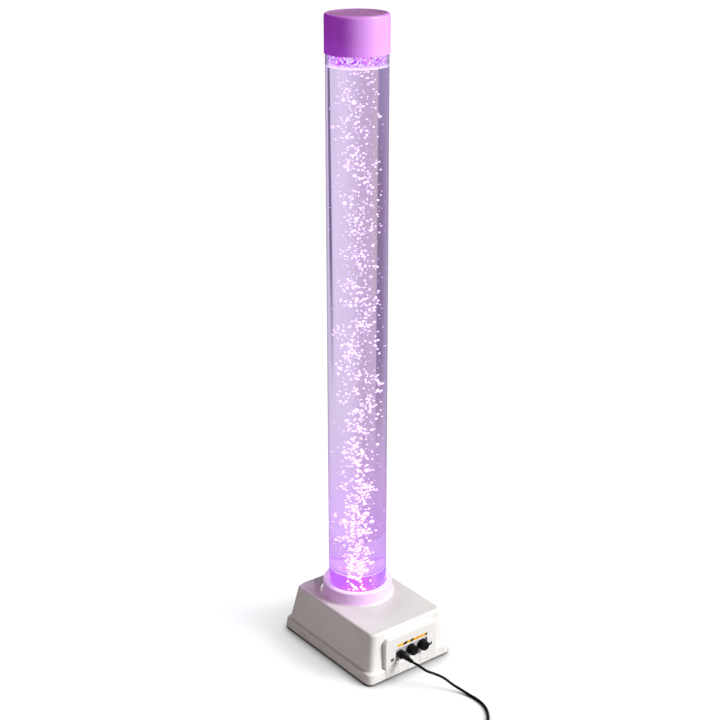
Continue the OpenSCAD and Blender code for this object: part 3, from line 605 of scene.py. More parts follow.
@dataclass(frozen=True)
class WhiteMoulding(Finish):
    """White moulded plastic of the base, with the tube's light painted on as glow in its collar and beside
    it.

    Grime lies along the foot and darker spots under the window.  Painted shade lies on the top, round the
    collar's foot, in the wells of the screws and in a band along the foot.
    """

    axis_y: float
    top: float
    collar_top: float
    rim: float
    foot: float
    front: float
    screws: tuple[Run, ...]
    colour: Colour = (0.735, 0.715, 0.700)
    # painted shade on the top round the collar's foot
    collar_shade: Colour = (0.50, 0.49, 0.47)
    # painted shade that makes the top darker and warmer than the sides
    top_shade: Colour = (0.690, 0.685, 0.630)
    # the collar's colour, with the tube's violet light painted in
    lit: Colour = (0.75, 0.53, 0.83)
    # painted glow of the tube's light on the top beside and behind the collar
    painted_tube_light: Colour = (0.13, 0.045, 0.115)
    # painted glow of the collar, brightest at its upper inner rim
    collar_glow: Colour = (0.062, 0.012, 0.080)
    rim_glow: Colour = (0.42, 0.33, 0.42)
    dark_marks: Colour = (0.42, 0.38, 0.34)
    # painted shade in the screws' wells and along the foot
    deep_shade: Colour = (0.085, 0.070, 0.065)
    dirt_rise: float = 0.022
    # height of the band of painted shadow along the foot
    foot_shadow_band: Run = (0.0018, 0.0032)
    # reach round the collar of its painted shade and painted glow
    collar_reach: Run = (0.064, 0.130)
    collar_edge: Run = (0.0655, 0.0672)
    shade_x: Run = (-0.062, -0.034)
    spot_top: Run = (0.021, 0.027)
    # edge of the painted shade round each screw
    well_shade_edge: Run = (0.0033, 0.0040)

    def build(self, graph: Graph) -> Socket:
        """Builds the nodes.

        Args:
            graph: The material's graph.

        Returns:
            The shader.
        """
        place = graph.place()
        height = graph.part(place, "Z")
        reach = graph.from_axis(place, self.axis_y)
        broad = graph.noise(place, 22.0, 4.0)
        warm = tuple(channel * 0.955 for channel in self.colour)
        plain = graph.mix(graph.span(broad, 0.35, 0.7), self.colour, warm)

        low = graph.span(height, self.foot, self.foot + self.dirt_rise, 1.0, 0.0)
        streaks = graph.noise(graph.stretched(place, (1.0, 0.3, 1.0)), 120.0, 6.0, 0.65)
        dirt_and_shade = graph.mix(graph.times(graph.span(streaks, 0.50, 0.70), low, 0.70), plain, self.dark_marks)
        dirt_and_shade = graph.mix(self.dark_spots(graph, place), dirt_and_shade, self.dark_marks)
        # painted shade in the wells round the panel screws
        dirt_and_shade = graph.mix(self.well_shade(graph, place), dirt_and_shade, self.deep_shade)
        # painted shadow: a dark band along the foot, where the base meets the floor
        line_low, line_high = self.foot_shadow_band
        edge = graph.span(height, self.foot + line_low, self.foot + line_high, 0.9, 0.0)
        dirt_and_shade = graph.mix(edge, dirt_and_shade, self.deep_shade)

        on_top = graph.span(height, self.top - 0.006, self.top)
        near = graph.span(reach, *self.collar_reach, 1.0, 0.0, soft=True)
        # painted shade: the top darker and warmer, and darker still round the collar's foot
        tinted = graph.mix(graph.times(on_top, 0.8), dirt_and_shade, self.top_shade)
        tinted = graph.mix(graph.times(near, on_top, 0.55), tinted, self.collar_shade)

        # the collar: the tube's violet light painted into its colour, and painted glow brightest at its upper
        # inner rim
        within = graph.span(reach, *self.collar_edge, 1.0, 0.0)
        above = graph.span(height, self.top + 0.0005, self.top + 0.004)
        collar = graph.times(within, above)
        inner = graph.span(reach, self.rim + 0.003, self.rim + 0.009, 1.0, 0.45)
        upper = graph.span(height, self.collar_top - 0.003, self.collar_top - 0.0004)
        glow = graph.mix(graph.times(inner, upper), self.collar_glow, self.rim_glow)
        # painted glow of the tube's light on the top beside and behind the collar
        painted_light = graph.mix(graph.times(near, on_top, self.in_shade(graph, place)), NO_LIGHT, self.painted_tube_light)

        fine = graph.noise(place, 900.0, 2.0)
        smooth = graph.noise(place, 34.0, 5.0, 0.6)
        return graph.principled(
            Base_Color=graph.mix(collar, tinted, self.lit),
            Roughness=graph.span(smooth, 0.3, 0.7, 0.30, 0.48),
            Normal=graph.bump(fine, 0.000022),
            Coat_Weight=0.18,
            Coat_Roughness=0.22,
            Emission_Color=graph.mix(collar, painted_light, glow),
            Emission_Strength=1.0,
        )

    def in_shade(self, graph: Graph, place: Socket) -> Socket:
        """Share of the top beside and behind the collar, where the tube's own light is painted on as glow."""
        return graph.span(graph.part(place, "X"), *self.shade_x, 1.0, 0.0, soft=True)

    def at_front(self, graph: Graph, place: Socket) -> Socket:
        """Share that is 1 on the front and 0 elsewhere."""
        return graph.span(graph.part(place, "Y"), -self.front, -self.front + 0.001, 1.0, 0.0)

    def dark_spots(self, graph: Graph, place: Socket) -> Socket:
        """Share of darker colour in small spots under the window and in short streaks down the front.

        Args:
            graph: The material's graph.
            place: Place on the object.

        Returns:
            The share.
        """
        spots = graph.span(graph.noise(place, 210.0, 4.0, 0.6), 0.60, 0.70)
        runs = graph.span(graph.noise(graph.stretched(place, (1.0, 1.0, 0.18)), 190.0, 3.0), 0.62, 0.70)
        low = graph.span(graph.part(place, "Z"), *self.spot_top, 1.0, 0.0)
        marks = graph.maths("MAXIMUM", spots, graph.times(runs, 0.6))
        return graph.times(marks, low, self.at_front(graph, place), 0.75)

    def well_shade(self, graph: Graph, place: Socket) -> Socket:
        """Share of painted shade in the wells round the panel screws.

        Args:
            graph: The material's graph.
            place: Place on the object.

        Returns:
            The share.
        """
        share: object = 0.0
        flat = graph.vector("MULTIPLY", place, (1.0, 0.0, 1.0))
        for x, z in self.screws:
            away = graph.node("VectorMath", {0: flat, 1: (x, 0.0, z)}, operation="DISTANCE").outputs["Value"]
            share = graph.maths("MAXIMUM", share, graph.span(away, *self.well_shade_edge, 0.96, 0.0))
        return graph.times(share, self.at_front(graph, place))


@dataclass(frozen=True)
class LitWater(Finish):
    """Clear acrylic tube full of water, with the lamp's light under it painted on as tint and glow.  Its
    shadow is a faint tint.
    """

    foot: float
    top: float
    lamp_tint_low: Colour = (0.82, 0.60, 1.0)
    lamp_tint_high: Colour = (0.89, 0.80, 0.96)
    glow_low: Colour = (0.100, 0.020, 0.190)
    glow_high: Colour = (0.012, 0.004, 0.040)
    shadow: Colour = (0.93, 0.88, 0.96)
    bend: float = 1.36

    def build(self, graph: Graph) -> Socket:
        """Builds the nodes.

        Args:
            graph: The material's graph.

        Returns:
            The shader.
        """
        place = graph.place()
        height = graph.part(place, "Z")
        rise = graph.span(height, self.foot, self.foot + 0.35 * (self.top - self.foot), soft=True)
        swirl = graph.noise(graph.stretched(place, (1.0, 1.0, 0.35)), 26.0, 2.0)
        swirled = graph.span(swirl, 0.35, 0.7)
        # painted light: the lamp's violet glow and tint, strongest low down
        glow = graph.mix(rise, self.glow_low, self.glow_high)
        glass = graph.principled(
            Base_Color=graph.mix(rise, self.lamp_tint_low, self.lamp_tint_high),
            Roughness=graph.span(swirled, 0.0, 1.0, 0.0, 0.012),
            IOR=self.bend,
            Transmission_Weight=1.0,
            Emission_Color=graph.mix(graph.times(swirled, 0.02), glow, self.lamp_tint_high),
            Emission_Strength=0.5,
        )
        clear = graph.node("BsdfTransparent", {"Color": self.shadow}).outputs[0]
        return graph.blend(graph.node("LightPath").outputs["Is Shadow Ray"], glass, clear)


@dataclass(frozen=True)
class LitDisc(Finish):
    """Clear disc over the lamps, their light painted on as glow: pale face, light rim, violet side, magenta
    where they shine.
    """

    axis_y: float
    foot: float
    top: float
    violet: Colour = (0.62, 0.16, 0.92)
    magenta: Colour = (1.02, 0.14, 1.02)
    bluish: Colour = (0.49, 0.26, 1.0)
    edge: Colour = (0.95, 0.86, 1.05)
    face: Colour = (0.71, 0.53, 0.92)
    deep: Colour = (0.50, 0.16, 0.96)
    body: Colour = (0.06, 0.03, 0.10)
    cool_x: Run = (-0.004, 0.020)
    lamp_x: float = -0.026
    lamp_edge: Run = (0.004, 0.020)
    face_fade: Run = (0.028, 0.0445)
    face_glow: Run = (0.036, 0.018)
    rim_reach: Run = (0.0446, 0.0450)

    def build(self, graph: Graph) -> Socket:
        """Builds the nodes.

        Args:
            graph: The material's graph.

        Returns:
            The shader.
        """
        place = graph.place()
        height = graph.part(place, "Z")
        reach = graph.from_axis(place, self.axis_y)
        clouds = graph.noise(place, 60.0, 3.0)
        across = graph.part(place, "X")
        thick = self.top - self.foot
        side = graph.mix(graph.times(graph.span(across, *self.cool_x), 0.85), self.violet, self.bluish)
        away = graph.maths("ABSOLUTE", graph.maths("SUBTRACT", across, self.lamp_x))
        facing = graph.span(away, *self.lamp_edge, 1.0, 0.0)
        low = graph.span(height, self.foot, self.foot + 0.5 * thick, 1.0, 0.0, soft=True)
        hot = graph.times(low, facing, graph.span(clouds, 0.36, 0.56))
        warm = graph.times(facing, graph.span(clouds, 0.38, 0.60, 0.15, 0.70))
        side = graph.mix(graph.maths("MAXIMUM", hot, warm), side, self.magenta)

        face = graph.mix(graph.span(reach, *self.face_fade, 0.0, 0.85), self.face, self.deep)
        glowing = graph.times(graph.span(clouds, 0.50, 0.66), graph.span(reach, *self.face_glow))
        face = graph.mix(graph.times(glowing, 0.35), face, self.magenta)
        light = graph.mix(graph.span(height, self.top - 0.0004, self.top - 0.0001), side, face)
        near_top = graph.span(height, self.top - 0.0020, self.top - 0.0014)
        light = graph.mix(graph.times(near_top, graph.span(reach, *self.rim_reach)), light, self.edge)
        # the lamps' light is painted on as glow, and the base colour turns deep violet where that glow is
        # hottest
        return graph.principled(
            Base_Color=graph.mix(hot, self.body, self.deep),
            Roughness=graph.span(clouds, 0.3, 0.7, 0.1, 0.2),
            Emission_Color=light,
            Emission_Strength=0.85,
        )


@dataclass(frozen=True)
class Sparkle(QuietGlow):
    """Air bubble with painted glow from below: near white, its rim magenta low down and lilac higher up."""

    foot: float
    top: float
    middle_low: Colour = (1.12, 1.32, 1.0)
    middle_high: Colour = (1.00, 1.00, 1.00)
    rim_low: Colour = (0.90, 0.24, 1.0)
    rim_high: Colour = (0.68, 0.36, 0.90)
    dim: Colour = (0.60, 0.42, 0.74)
    body: Colour = (0.35, 0.28, 0.40)
    strength: float = 1.12
    bright_rim: Run = (0.13, 0.52)
    dull_rim: Run = (0.05, 0.6)

    def build(self, graph: Graph) -> Socket:
        """Builds the nodes.

        Args:
            graph: The material's graph.

        Returns:
            The shader.
        """
        facing = graph.node("LayerWeight", {"Blend": 0.5}).outputs["Facing"]
        tone = graph.node("Attribute", attribute_name="tone").outputs["Fac"]
        height = graph.part(graph.place(), "Z")
        rise = graph.span(height, self.foot, self.foot + 0.45 * (self.top - self.foot))
        rim = graph.mix(rise, self.rim_low, self.rim_high)
        middle = graph.mix(rise, self.middle_low, self.middle_high)
        # painted glow: bright in the middle, coloured towards the rim
        bright = graph.mix(graph.span(facing, *self.bright_rim), middle, rim)
        dull = graph.mix(graph.span(facing, *self.dull_rim), rim, self.dim)
        return graph.principled(
            Base_Color=self.body,
            Roughness=graph.span(facing, 0.0, 1.0, 0.08, 0.2),
            Emission_Color=graph.mix(tone, dull, bright),
            Emission_Strength=self.strength,
        )


@dataclass(frozen=True)
class SplashFilm(QuietGlow):
    """Wet inner wall above the water: drops and foam with the tube's light painted on in white, lilac and
    deep violet.
    """

    top: float
    white: Colour = (1.02, 0.92, 1.06)
    lilac: Colour = (0.76, 0.38, 0.98)
    deep: Colour = (0.44, 0.03, 0.86)
    pink: Colour = (0.86, 0.20, 1.0)
    strength: float = 1.05
    drops_in_metre: float = 300.0
    clouds_in_metre: float = 240.0
    white_band: Run = (0.0185, 0.0150)

    def build(self, graph: Graph) -> Socket:
        """Builds the nodes.

        Args:
            graph: The material's graph.

        Returns:
            The shader.
        """
        place = graph.place()
        drops = graph.cells(place, self.drops_in_metre)
        clouds = graph.noise(place, self.clouds_in_metre)
        pale = graph.mix(graph.span(clouds, 0.44, 0.51), self.lilac, self.white)
        dark = graph.mix(graph.span(graph.noise(place, 90.0, 2.0), 0.48, 0.56), self.deep, self.pink)
        shade = graph.mix(graph.span(drops, 0.50, 0.60), pale, dark)
        # painted glow: whiter just above the water
        start, end = self.white_band
        near = graph.span(graph.part(place, "Z"), self.top - start, self.top - end, 1.0, 0.0)
        shade = graph.mix(near, shade, self.white)
        clear = graph.node("BsdfTransparent").outputs[0]
        cover = graph.span(graph.noise(place, 110.0, 4.0, 0.6), 0.38, 0.56, 0.35, 0.97)
        return graph.blend(cover, clear, graph.emission(shade, self.strength))


@dataclass(frozen=True)
class GlowingCap(Finish):
    """White plastic of the cap, with the light in the tube painted on as violet colour and glow, most at its
    lower edge.
    """

    axis_y: float
    foot: float
    top: float
    # violet colour: the tube's light painted in
    colour: Colour = (0.69, 0.395, 0.76)
    # painted shade on the crown and in the dish
    crown: Colour = (0.45, 0.24, 0.45)
    dish: Colour = (0.34, 0.17, 0.33)
    glow_low: Colour = (0.235, 0.010, 0.38)
    glow_high: Colour = (0.18, 0.003, 0.27)
    glow_dish: Colour = (0.09, 0.015, 0.10)
    lid_edge: Run = (0.0445, 0.048)
    lid_depth: Run = (0.004, 0.002)
    crown_shade_depth: Run = (0.0038, 0.0016)

    def build(self, graph: Graph) -> Socket:
        """Builds the nodes.

        Args:
            graph: The material's graph.

        Returns:
            The shader.
        """
        place = graph.place()
        height = graph.part(place, "Z")
        reach = graph.from_axis(place, self.axis_y)
        clouds = graph.noise(place, 30.0, 3.0)
        rise = graph.span(height, self.foot, self.foot + 0.6 * (self.top - self.foot), soft=True)
        uneven = graph.maths("ADD", rise, graph.span(clouds, 0.3, 0.7, -0.12, 0.12), clamp=True)
        # painted shade: the dish in the top darker, with a weaker glow of its own
        near_top = graph.span(height, *(self.top - depth for depth in self.lid_depth))
        lid = graph.times(near_top, graph.span(reach, *self.lid_edge, 1.0, 0.0))
        body = graph.mix(graph.span(clouds, 0.3, 0.7), self.colour, tuple(c * 0.96 for c in self.colour))
        # painted shade: the crown of the rounded edge darker, as it catches less light
        crown_shade_share = graph.span(height, *(self.top - depth for depth in self.crown_shade_depth))
        body = graph.mix(crown_shade_share, body, self.crown)
        # painted glow, strongest at the lower edge
        glow = graph.mix(uneven, self.glow_low, self.glow_high)
        return graph.principled(
            Base_Color=graph.mix(lid, body, self.dish),
            Roughness=graph.span(graph.noise(place, 60.0, 4.0), 0.3, 0.7, 0.24, 0.36),
            Specular_IOR_Level=0.32,
            Normal=graph.bump(graph.noise(place, 800.0, 2.0), 0.00001),
            Emission_Color=graph.mix(lid, glow, self.glow_dish),
            Emission_Strength=1.0,
        )


@dataclass(frozen=True)
class LegendPrint(Finish):
    """Amber strip with plain dark blocks, each with a middle and a width along the strip and a strength."""

    left: float
    foot: float
    length: float
    height: float
    amber: Colour = (0.90, 0.44, 0.008)
    ink: Colour = (0.020, 0.014, 0.008)
    slant: float = 0.06
    blur: float = 0.006
    blocks: tuple[Point, ...] = (
        (0.255, 0.125, 1.0), (0.475, 0.115, 1.0), (0.665, 0.050, 0.7), (0.79, 0.035, 0.6),
        (0.965, 0.090, 1.0),
    )

    def build(self, graph: Graph) -> Socket:
        """Builds the nodes.

        Args:
            graph: The material's graph.

        Returns:
            The shader.
        """
        place = graph.place()
        along = graph.span(graph.part(place, "X"), self.left, self.left + self.length)
        up = graph.span(graph.part(place, "Z"), self.foot, self.foot + self.height)
        lean = graph.maths("ADD", along, graph.times(graph.maths("SUBTRACT", 0.5, up), self.slant))
        shade: object = self.amber
        for middle, width, strength in self.blocks:
            away = graph.maths("ABSOLUTE", graph.maths("SUBTRACT", lean, middle))
            inside = graph.span(away, width / 2 - self.blur, width / 2 + self.blur, strength, 0.0)
            shade = graph.mix(inside, shade, self.ink)
        specks = graph.span(graph.noise(place, 900.0, 3.0), 0.62, 0.72, 0.0, 0.35)
        shade = graph.mix(specks, shade, self.ink)
        rough = graph.span(graph.noise(place, 200.0, 3.0), 0.3, 0.7, 0.35, 0.5)
        return graph.principled(Base_Color=shade, Roughness=rough)


# Finishes that several pieces share.  Colours are linear.
GLOSSY_BLACK = Moulded("glossy_black_plastic", (0.006, 0.005, 0.006), gloss=0.17, shine=0.14)
SATIN_BLACK = Moulded("satin_black_plastic", (0.018, 0.018, 0.019), gloss=0.42)
SOFT_BLACK = Moulded("soft_black_rubber", (0.020, 0.019, 0.019), gloss=0.62, grain=900.0, depth=0.00005)
CORD_BLACK = Moulded("black_cord_sheath", (0.005, 0.005, 0.005), gloss=0.34, grain=700.0, shine=0.16)
GREY_PLASTIC = Moulded("grey_plastic", (0.22, 0.22, 0.23), gloss=0.45)
DARK_TRAY = Moulded("dark_base_tray", (0.055, 0.055, 0.058), gloss=0.5)
IVORY = Moulded("ivory_valve", (0.66, 0.60, 0.46), gloss=0.35)
HOSE = Moulded("milky_hose", (0.62, 0.64, 0.66), gloss=0.2, coat=0.3)
LAMP_YELLOW = Moulded("lamp_phosphor", (0.85, 0.62, 0.12), gloss=0.3)
STEEL = Metal("plated_steel", (0.62, 0.61, 0.60), gloss=0.25)
BRASS = Metal("brass_spacer", (0.70, 0.50, 0.20), gloss=0.25)
ALUMINIUM = Metal("painted_aluminium", (0.56, 0.53, 0.54), gloss=0.42, metallic=0.25)
GREEN_BOARD = Circuit("green_circuit", (0.012, 0.10, 0.035), (0.10, 0.28, 0.09))
WHITE_BOARD = Circuit("white_circuit", (0.74, 0.74, 0.72), (0.55, 0.55, 0.52))


# ---------- putting pieces on the lamp ----------


def settle(piece: Piece, body: Body, finish: Finish, stands_for: Sequence[str] = ()) -> Piece:
    """Dresses a finished piece and says what it rides on and stands for.

    Args:
        piece: The piece.
        body: Body that carries it.
        finish: Its finish.
        stands_for: Frame nodes that it replaces.

    Returns:
        The piece.
    """
    piece.data.materials.clear()
    piece.data.materials.append(material_of(finish))
    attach(piece, body.value)
    if stands_for:
        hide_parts(*stands_for)
    count = len(piece.data.polygons) if piece.type == "MESH" else 0
    LOG.info("%s: %d faces on %s, stands for %s", piece.name, count, body.value, ", ".join(stands_for) or "-")
    return piece


def dress(nodes: Iterable[str], finish: Finish) -> None:
    """Gives frame nodes a finish and leaves their shape alone.

    Args:
        nodes: Names of the nodes.
        finish: The finish.
    """
    for name in nodes:
        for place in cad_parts[name].material_slots:
            place.material = material_of(finish)
        LOG.info("%s: dressed in %s", name, finish.name)


# ---------- studio ----------


@dataclass(frozen=True)
class PaleFloor(Finish):
    """Floor that is white to the eye, and darker with distance for the light that it gives back.

    What stands on it leaves a fine dark line where the two meet, in a wide faint shade, both painted from
    occlusion.
    """

    paper: Colour = (0.30, 0.30, 0.305)
    near_bounce: Colour = (0.32, 0.315, 0.31)
    far_bounce: Colour = (0.06, 0.06, 0.06)
    contact: float = 0.030
    surroundings: float = 0.16

    def build(self, graph: Graph) -> Socket:
        """Builds the nodes.

        Args:
            graph: The material's graph.

        Returns:
            The shader.
        """
        path = graph.node("LightPath").outputs
        close, wide = (
            graph.node("AmbientOcclusion", {"Distance": reach}, samples=16).outputs["AO"]
            for reach in (self.contact, self.surroundings)
        )
        # painted shade: the floor's white glow dimmed by occlusion, a fine dark line close in and a wide
        # faint shade
        shade = graph.span(wide, 0.55, 0.97, 0.21, 0.0)
        level = graph.maths("SUBTRACT", graph.span(close, 0.25, 0.88, 0.05, 0.765), shade, clamp=True)
        seen = {0: graph.diffuse(self.paper), 1: graph.emission(WHITE_LIGHT, level)}
        near = graph.span(graph.from_axis(graph.place(), 0.0), 0.25, 1.0, 1.0, 0.0)
        bounce = graph.diffuse(graph.mix(near, self.far_bounce, self.near_bounce))
        straight = graph.blend(path["Is Camera Ray"], bounce, graph.node("AddShader", seen).outputs[0])
        return graph.blend(path["Is Transmission Ray"], straight, graph.emission(SURROUND, 1.0))


@dataclass(frozen=True)
class TentCloth(QuietGlow):
    """Cloth of the tent, by height and by the angle round the tube from the camera's line of sight.

    Angles are in degrees and grow to the camera's left.  The cloth is pale, with a dark flag to the left,
    a thin dark upright to the right that leans, and faint folds.
    """

    middle: float
    heading: float
    left: Colour = (0.60, 0.505, 0.62)
    right: Colour = (0.78, 0.73, 0.84)
    warm: Colour = (0.60, 0.50, 0.52)
    flag_dark: Colour = (0.255, 0.195, 0.285)
    flag_high: Colour = (0.335, 0.295, 0.43)
    flag_light: Colour = (0.43, 0.36, 0.52)
    upright: Colour = (0.14, 0.115, 0.20)
    sides_turn: Run = (-9.0, 5.0)
    warm_turn: Run = (9.0, 16.0)
    warm_height: Run = (0.3, 0.6)
    far_turn: Run = (55.0, 85.0)
    flag_start: Run = (18.2, 19.4)
    flag_fade: Run = (27.0, 45.0)
    flag_end: Run = (52.0, 60.0)
    flag_foot: Run = (0.13, 0.44)
    flag_top: Run = (0.74, 0.92)
    upright_height: Run = (0.45, 0.88)
    upright_turn: Run = (-33.4, -36.0)
    upright_edge: Run = (3.2, 6.4)
    upright_foot: Run = (0.30, 0.60)

    def build(self, graph: Graph) -> Socket:
        """Builds the nodes.

        Args:
            graph: The material's graph.

        Returns:
            The shader.
        """
        place = graph.place()
        height = graph.part(place, "Z")
        spot = graph.vector("SUBTRACT", place, (0.0, self.middle, 0.0))
        aside = graph.dot(spot, (-math.cos(self.heading), -math.sin(self.heading), 0.0))
        ahead = graph.dot(spot, (-math.sin(self.heading), math.cos(self.heading), 0.0))
        angle = graph.maths("DEGREES", graph.maths("ARCTAN2", aside, ahead))
        pale = graph.mix(graph.span(angle, *self.sides_turn), self.right, self.left)
        warmth = graph.times(graph.span(angle, *self.warm_turn), graph.span(height, *self.warm_height), 0.8)
        pale = graph.mix(warmth, pale, self.warm)
        pale = graph.mix(graph.span(graph.maths("ABSOLUTE", angle), *self.far_turn), pale, SURROUND)

        deep = graph.mix(graph.span(height, *self.flag_top), self.flag_dark, self.flag_high)
        flag = graph.mix(graph.span(angle, *self.flag_fade), deep, self.flag_light)
        across = graph.times(graph.span(angle, *self.flag_start), graph.span(angle, *self.flag_end, 1.0, 0.0))
        cloth = graph.mix(graph.times(across, graph.span(height, *self.flag_foot, soft=True)), pale, flag)

        lean = graph.span(height, *self.upright_height, *self.upright_turn)
        away = graph.maths("ABSOLUTE", graph.maths("SUBTRACT", angle, lean))
        strip = graph.times(
            graph.span(away, *self.upright_edge, 1.0, 0.0), graph.span(height, *self.upright_foot)
        )
        folds = graph.noise(graph.stretched(place, (1.0, 1.0, 0.12)), 16.0, 3.0)
        return graph.emission(graph.mix(strip, cloth, self.upright), graph.span(folds, 0.3, 0.7, 0.95, 1.05))


@dataclass
class Studio:
    """Camera, floor, sky, lights and a soft tent.  None of it is the lamp's.

    The tent is a ring of cloth round the tube that is seen only through the clear tube.
    """

    camera_place: Point = (-1.3424, -1.7127, 1.3708)
    camera_drop: float = 0.3432
    camera_heading: float = -0.6589
    camera_lens: float = 70.97
    camera_shift: float = -0.05
    floor_reach: float = 30.0
    floor_z: float = -0.0004
    tent_r: float = 0.36
    tent_top: float = 1.35
    sun_from: Point = (0.60, -0.86, 0.76)
    sun_strength: float = 4.2
    sun_spread: float = 22.0
    sky: Run = (0.27, 0.03)
    sky_turn: Run = (-0.6, 0.45)
    box_from: Point = (0.75, -1.38, 1.25)
    box_spot: Point = (0.0, 0.0, 0.55)
    box_power: float = 7.0
    box_size: tuple[float, float] = (0.8, 1.2)
    fill_from: Point = (-2.05, -0.35, 0.42)
    fill_spot: Point = (0.0, 0.06, 0.04)
    fill_power: float = 44.0
    fill_colour: Colour = (1.0, 0.87, 0.86)
    fill_cone: float = 15.0
    rear_from: Point = (0.55, 2.0, 0.45)
    rear_spot: Point = (0.0, 0.0, 0.03)
    rear_power: float = 42.0

    def build(self) -> None:
        """Builds the whole studio."""
        self.camera()
        self.floor()
        self.tent()
        self.sky_light()
        self.sun()
        self.softbox()
        self.fill()
        bpy.context.scene.view_settings.view_transform = "Standard"

    def camera(self) -> None:
        """Sets the camera where the photograph was taken from."""
        lens = bpy.data.cameras.new("camera")
        lens.lens = self.camera_lens
        lens.sensor_width = 36.0
        lens.shift_y = self.camera_shift
        lens.clip_end = 100.0
        camera = bpy.data.objects.new("camera", lens)
        camera.location = self.camera_place
        camera.rotation_euler = (QUARTER - self.camera_drop, 0.0, self.camera_heading)
        bpy.context.scene.collection.objects.link(camera)
        bpy.context.scene.camera = camera

    def floor(self) -> None:
        """Lays a pale floor that shows a soft shadow."""
        reach = self.floor_reach
        corners = np.array([[-reach, -reach], [reach, -reach], [reach, reach], [-reach, reach]])
        points = np.hstack([corners, np.full((4, 1), self.floor_z)])
        floor = to_mesh("floor", points, [np.arange(4)])
        floor.data.materials.append(material_of(PaleFloor("pale_floor")))

    def tent(self) -> None:
        """Stands the tent round the tube: a ring of radius r from the floor up, seen only through glass."""
        middle = Extent.of("water_tube").centre[1]
        wall = np.array([[self.tent_r, 0.0], [self.tent_r, self.tent_top]])
        tent = turned("soft_tent", wall, np.array([0.0, middle, 0.0]))
        tent.data.materials.append(material_of(TentCloth("soft_tent", middle, self.camera_heading)))
        for way in ("camera", "diffuse", "glossy", "shadow", "volume_scatter"):
            setattr(tent, f"visible_{way}", False)

    def sky_light(self) -> None:
        """White backdrop to the eye, and a dim sky that darkens to the camera's left for the light."""
        world = bpy.data.worlds.new("studio")
        bpy.context.scene.world = world
        world.use_nodes = True
        graph = Graph(world.node_tree)
        path = graph.node("LightPath").outputs
        way = graph.node("TexCoord").outputs["Generated"]
        left = (-math.cos(self.camera_heading), -math.sin(self.camera_heading), 0.0)
        level = graph.span(graph.dot(way, left), *self.sky_turn, *self.sky)
        dim, white, tinted = (
            graph.node("Background", {"Color": colour, "Strength": strength}).outputs[0]
            for colour, strength in ((WHITE_LIGHT, level), (WHITE_LIGHT, 1.0), (SURROUND, 1.0))
        )
        straight = graph.blend(path["Is Camera Ray"], dim, white)
        graph.node("OutputWorld", {"Surface": graph.blend(path["Is Transmission Ray"], straight, tinted)})

    def lamp(self, name: str, kind: str, place: Point, target: Point, **settings: object) -> None:
        """Adds a light and turns it to a target.

        Args:
            name: Its name.
            kind: Its type.
            place: Where it stands.
            target: What it shines on.
            settings: Its properties.
        """
        data = bpy.data.lights.new(name, kind)
        for key, value in settings.items():
            setattr(data, key, value)
        light = bpy.data.objects.new(name, data)
        bpy.context.scene.collection.objects.link(light)
        x, y, z = np.subtract(target, place)
        light.location = place
        light.rotation_euler = (math.atan2(math.hypot(x, y), -z), 0.0, math.atan2(-x, y))

    def sun(self) -> None:
        """Broad key light from the camera's right, in front of the lamp."""
        spread = math.radians(self.sun_spread)
        self.lamp("key", "SUN", self.sun_from, (0.0, 0.0, 0.0), energy=self.sun_strength, angle=spread)

    def softbox(self) -> None:
        """Soft box that gives the gloss its highlights."""
        width, height = self.box_size
        self.lamp(
            "softbox", "AREA", self.box_from, self.box_spot, energy=self.box_power, shape="RECTANGLE",
            size=width, size_y=height,
        )

    def fill(self) -> None:
        """Low narrow fills that lift only the base: one on its shaded side, and one on its back."""
        sides = (
            ("fill", self.fill_from, self.fill_spot, self.fill_power, self.fill_colour),
            ("rear_fill", self.rear_from, self.rear_spot, self.rear_power, WHITE_LIGHT),
        )
        for name, place, target, power, colour in sides:
            self.lamp(
                name, "SPOT", place, target, energy=power, color=colour,
                spot_size=math.radians(self.fill_cone), spot_blend=0.6, shadow_soft_size=0.12,
            )


# ---------- sub-assemblies ----------


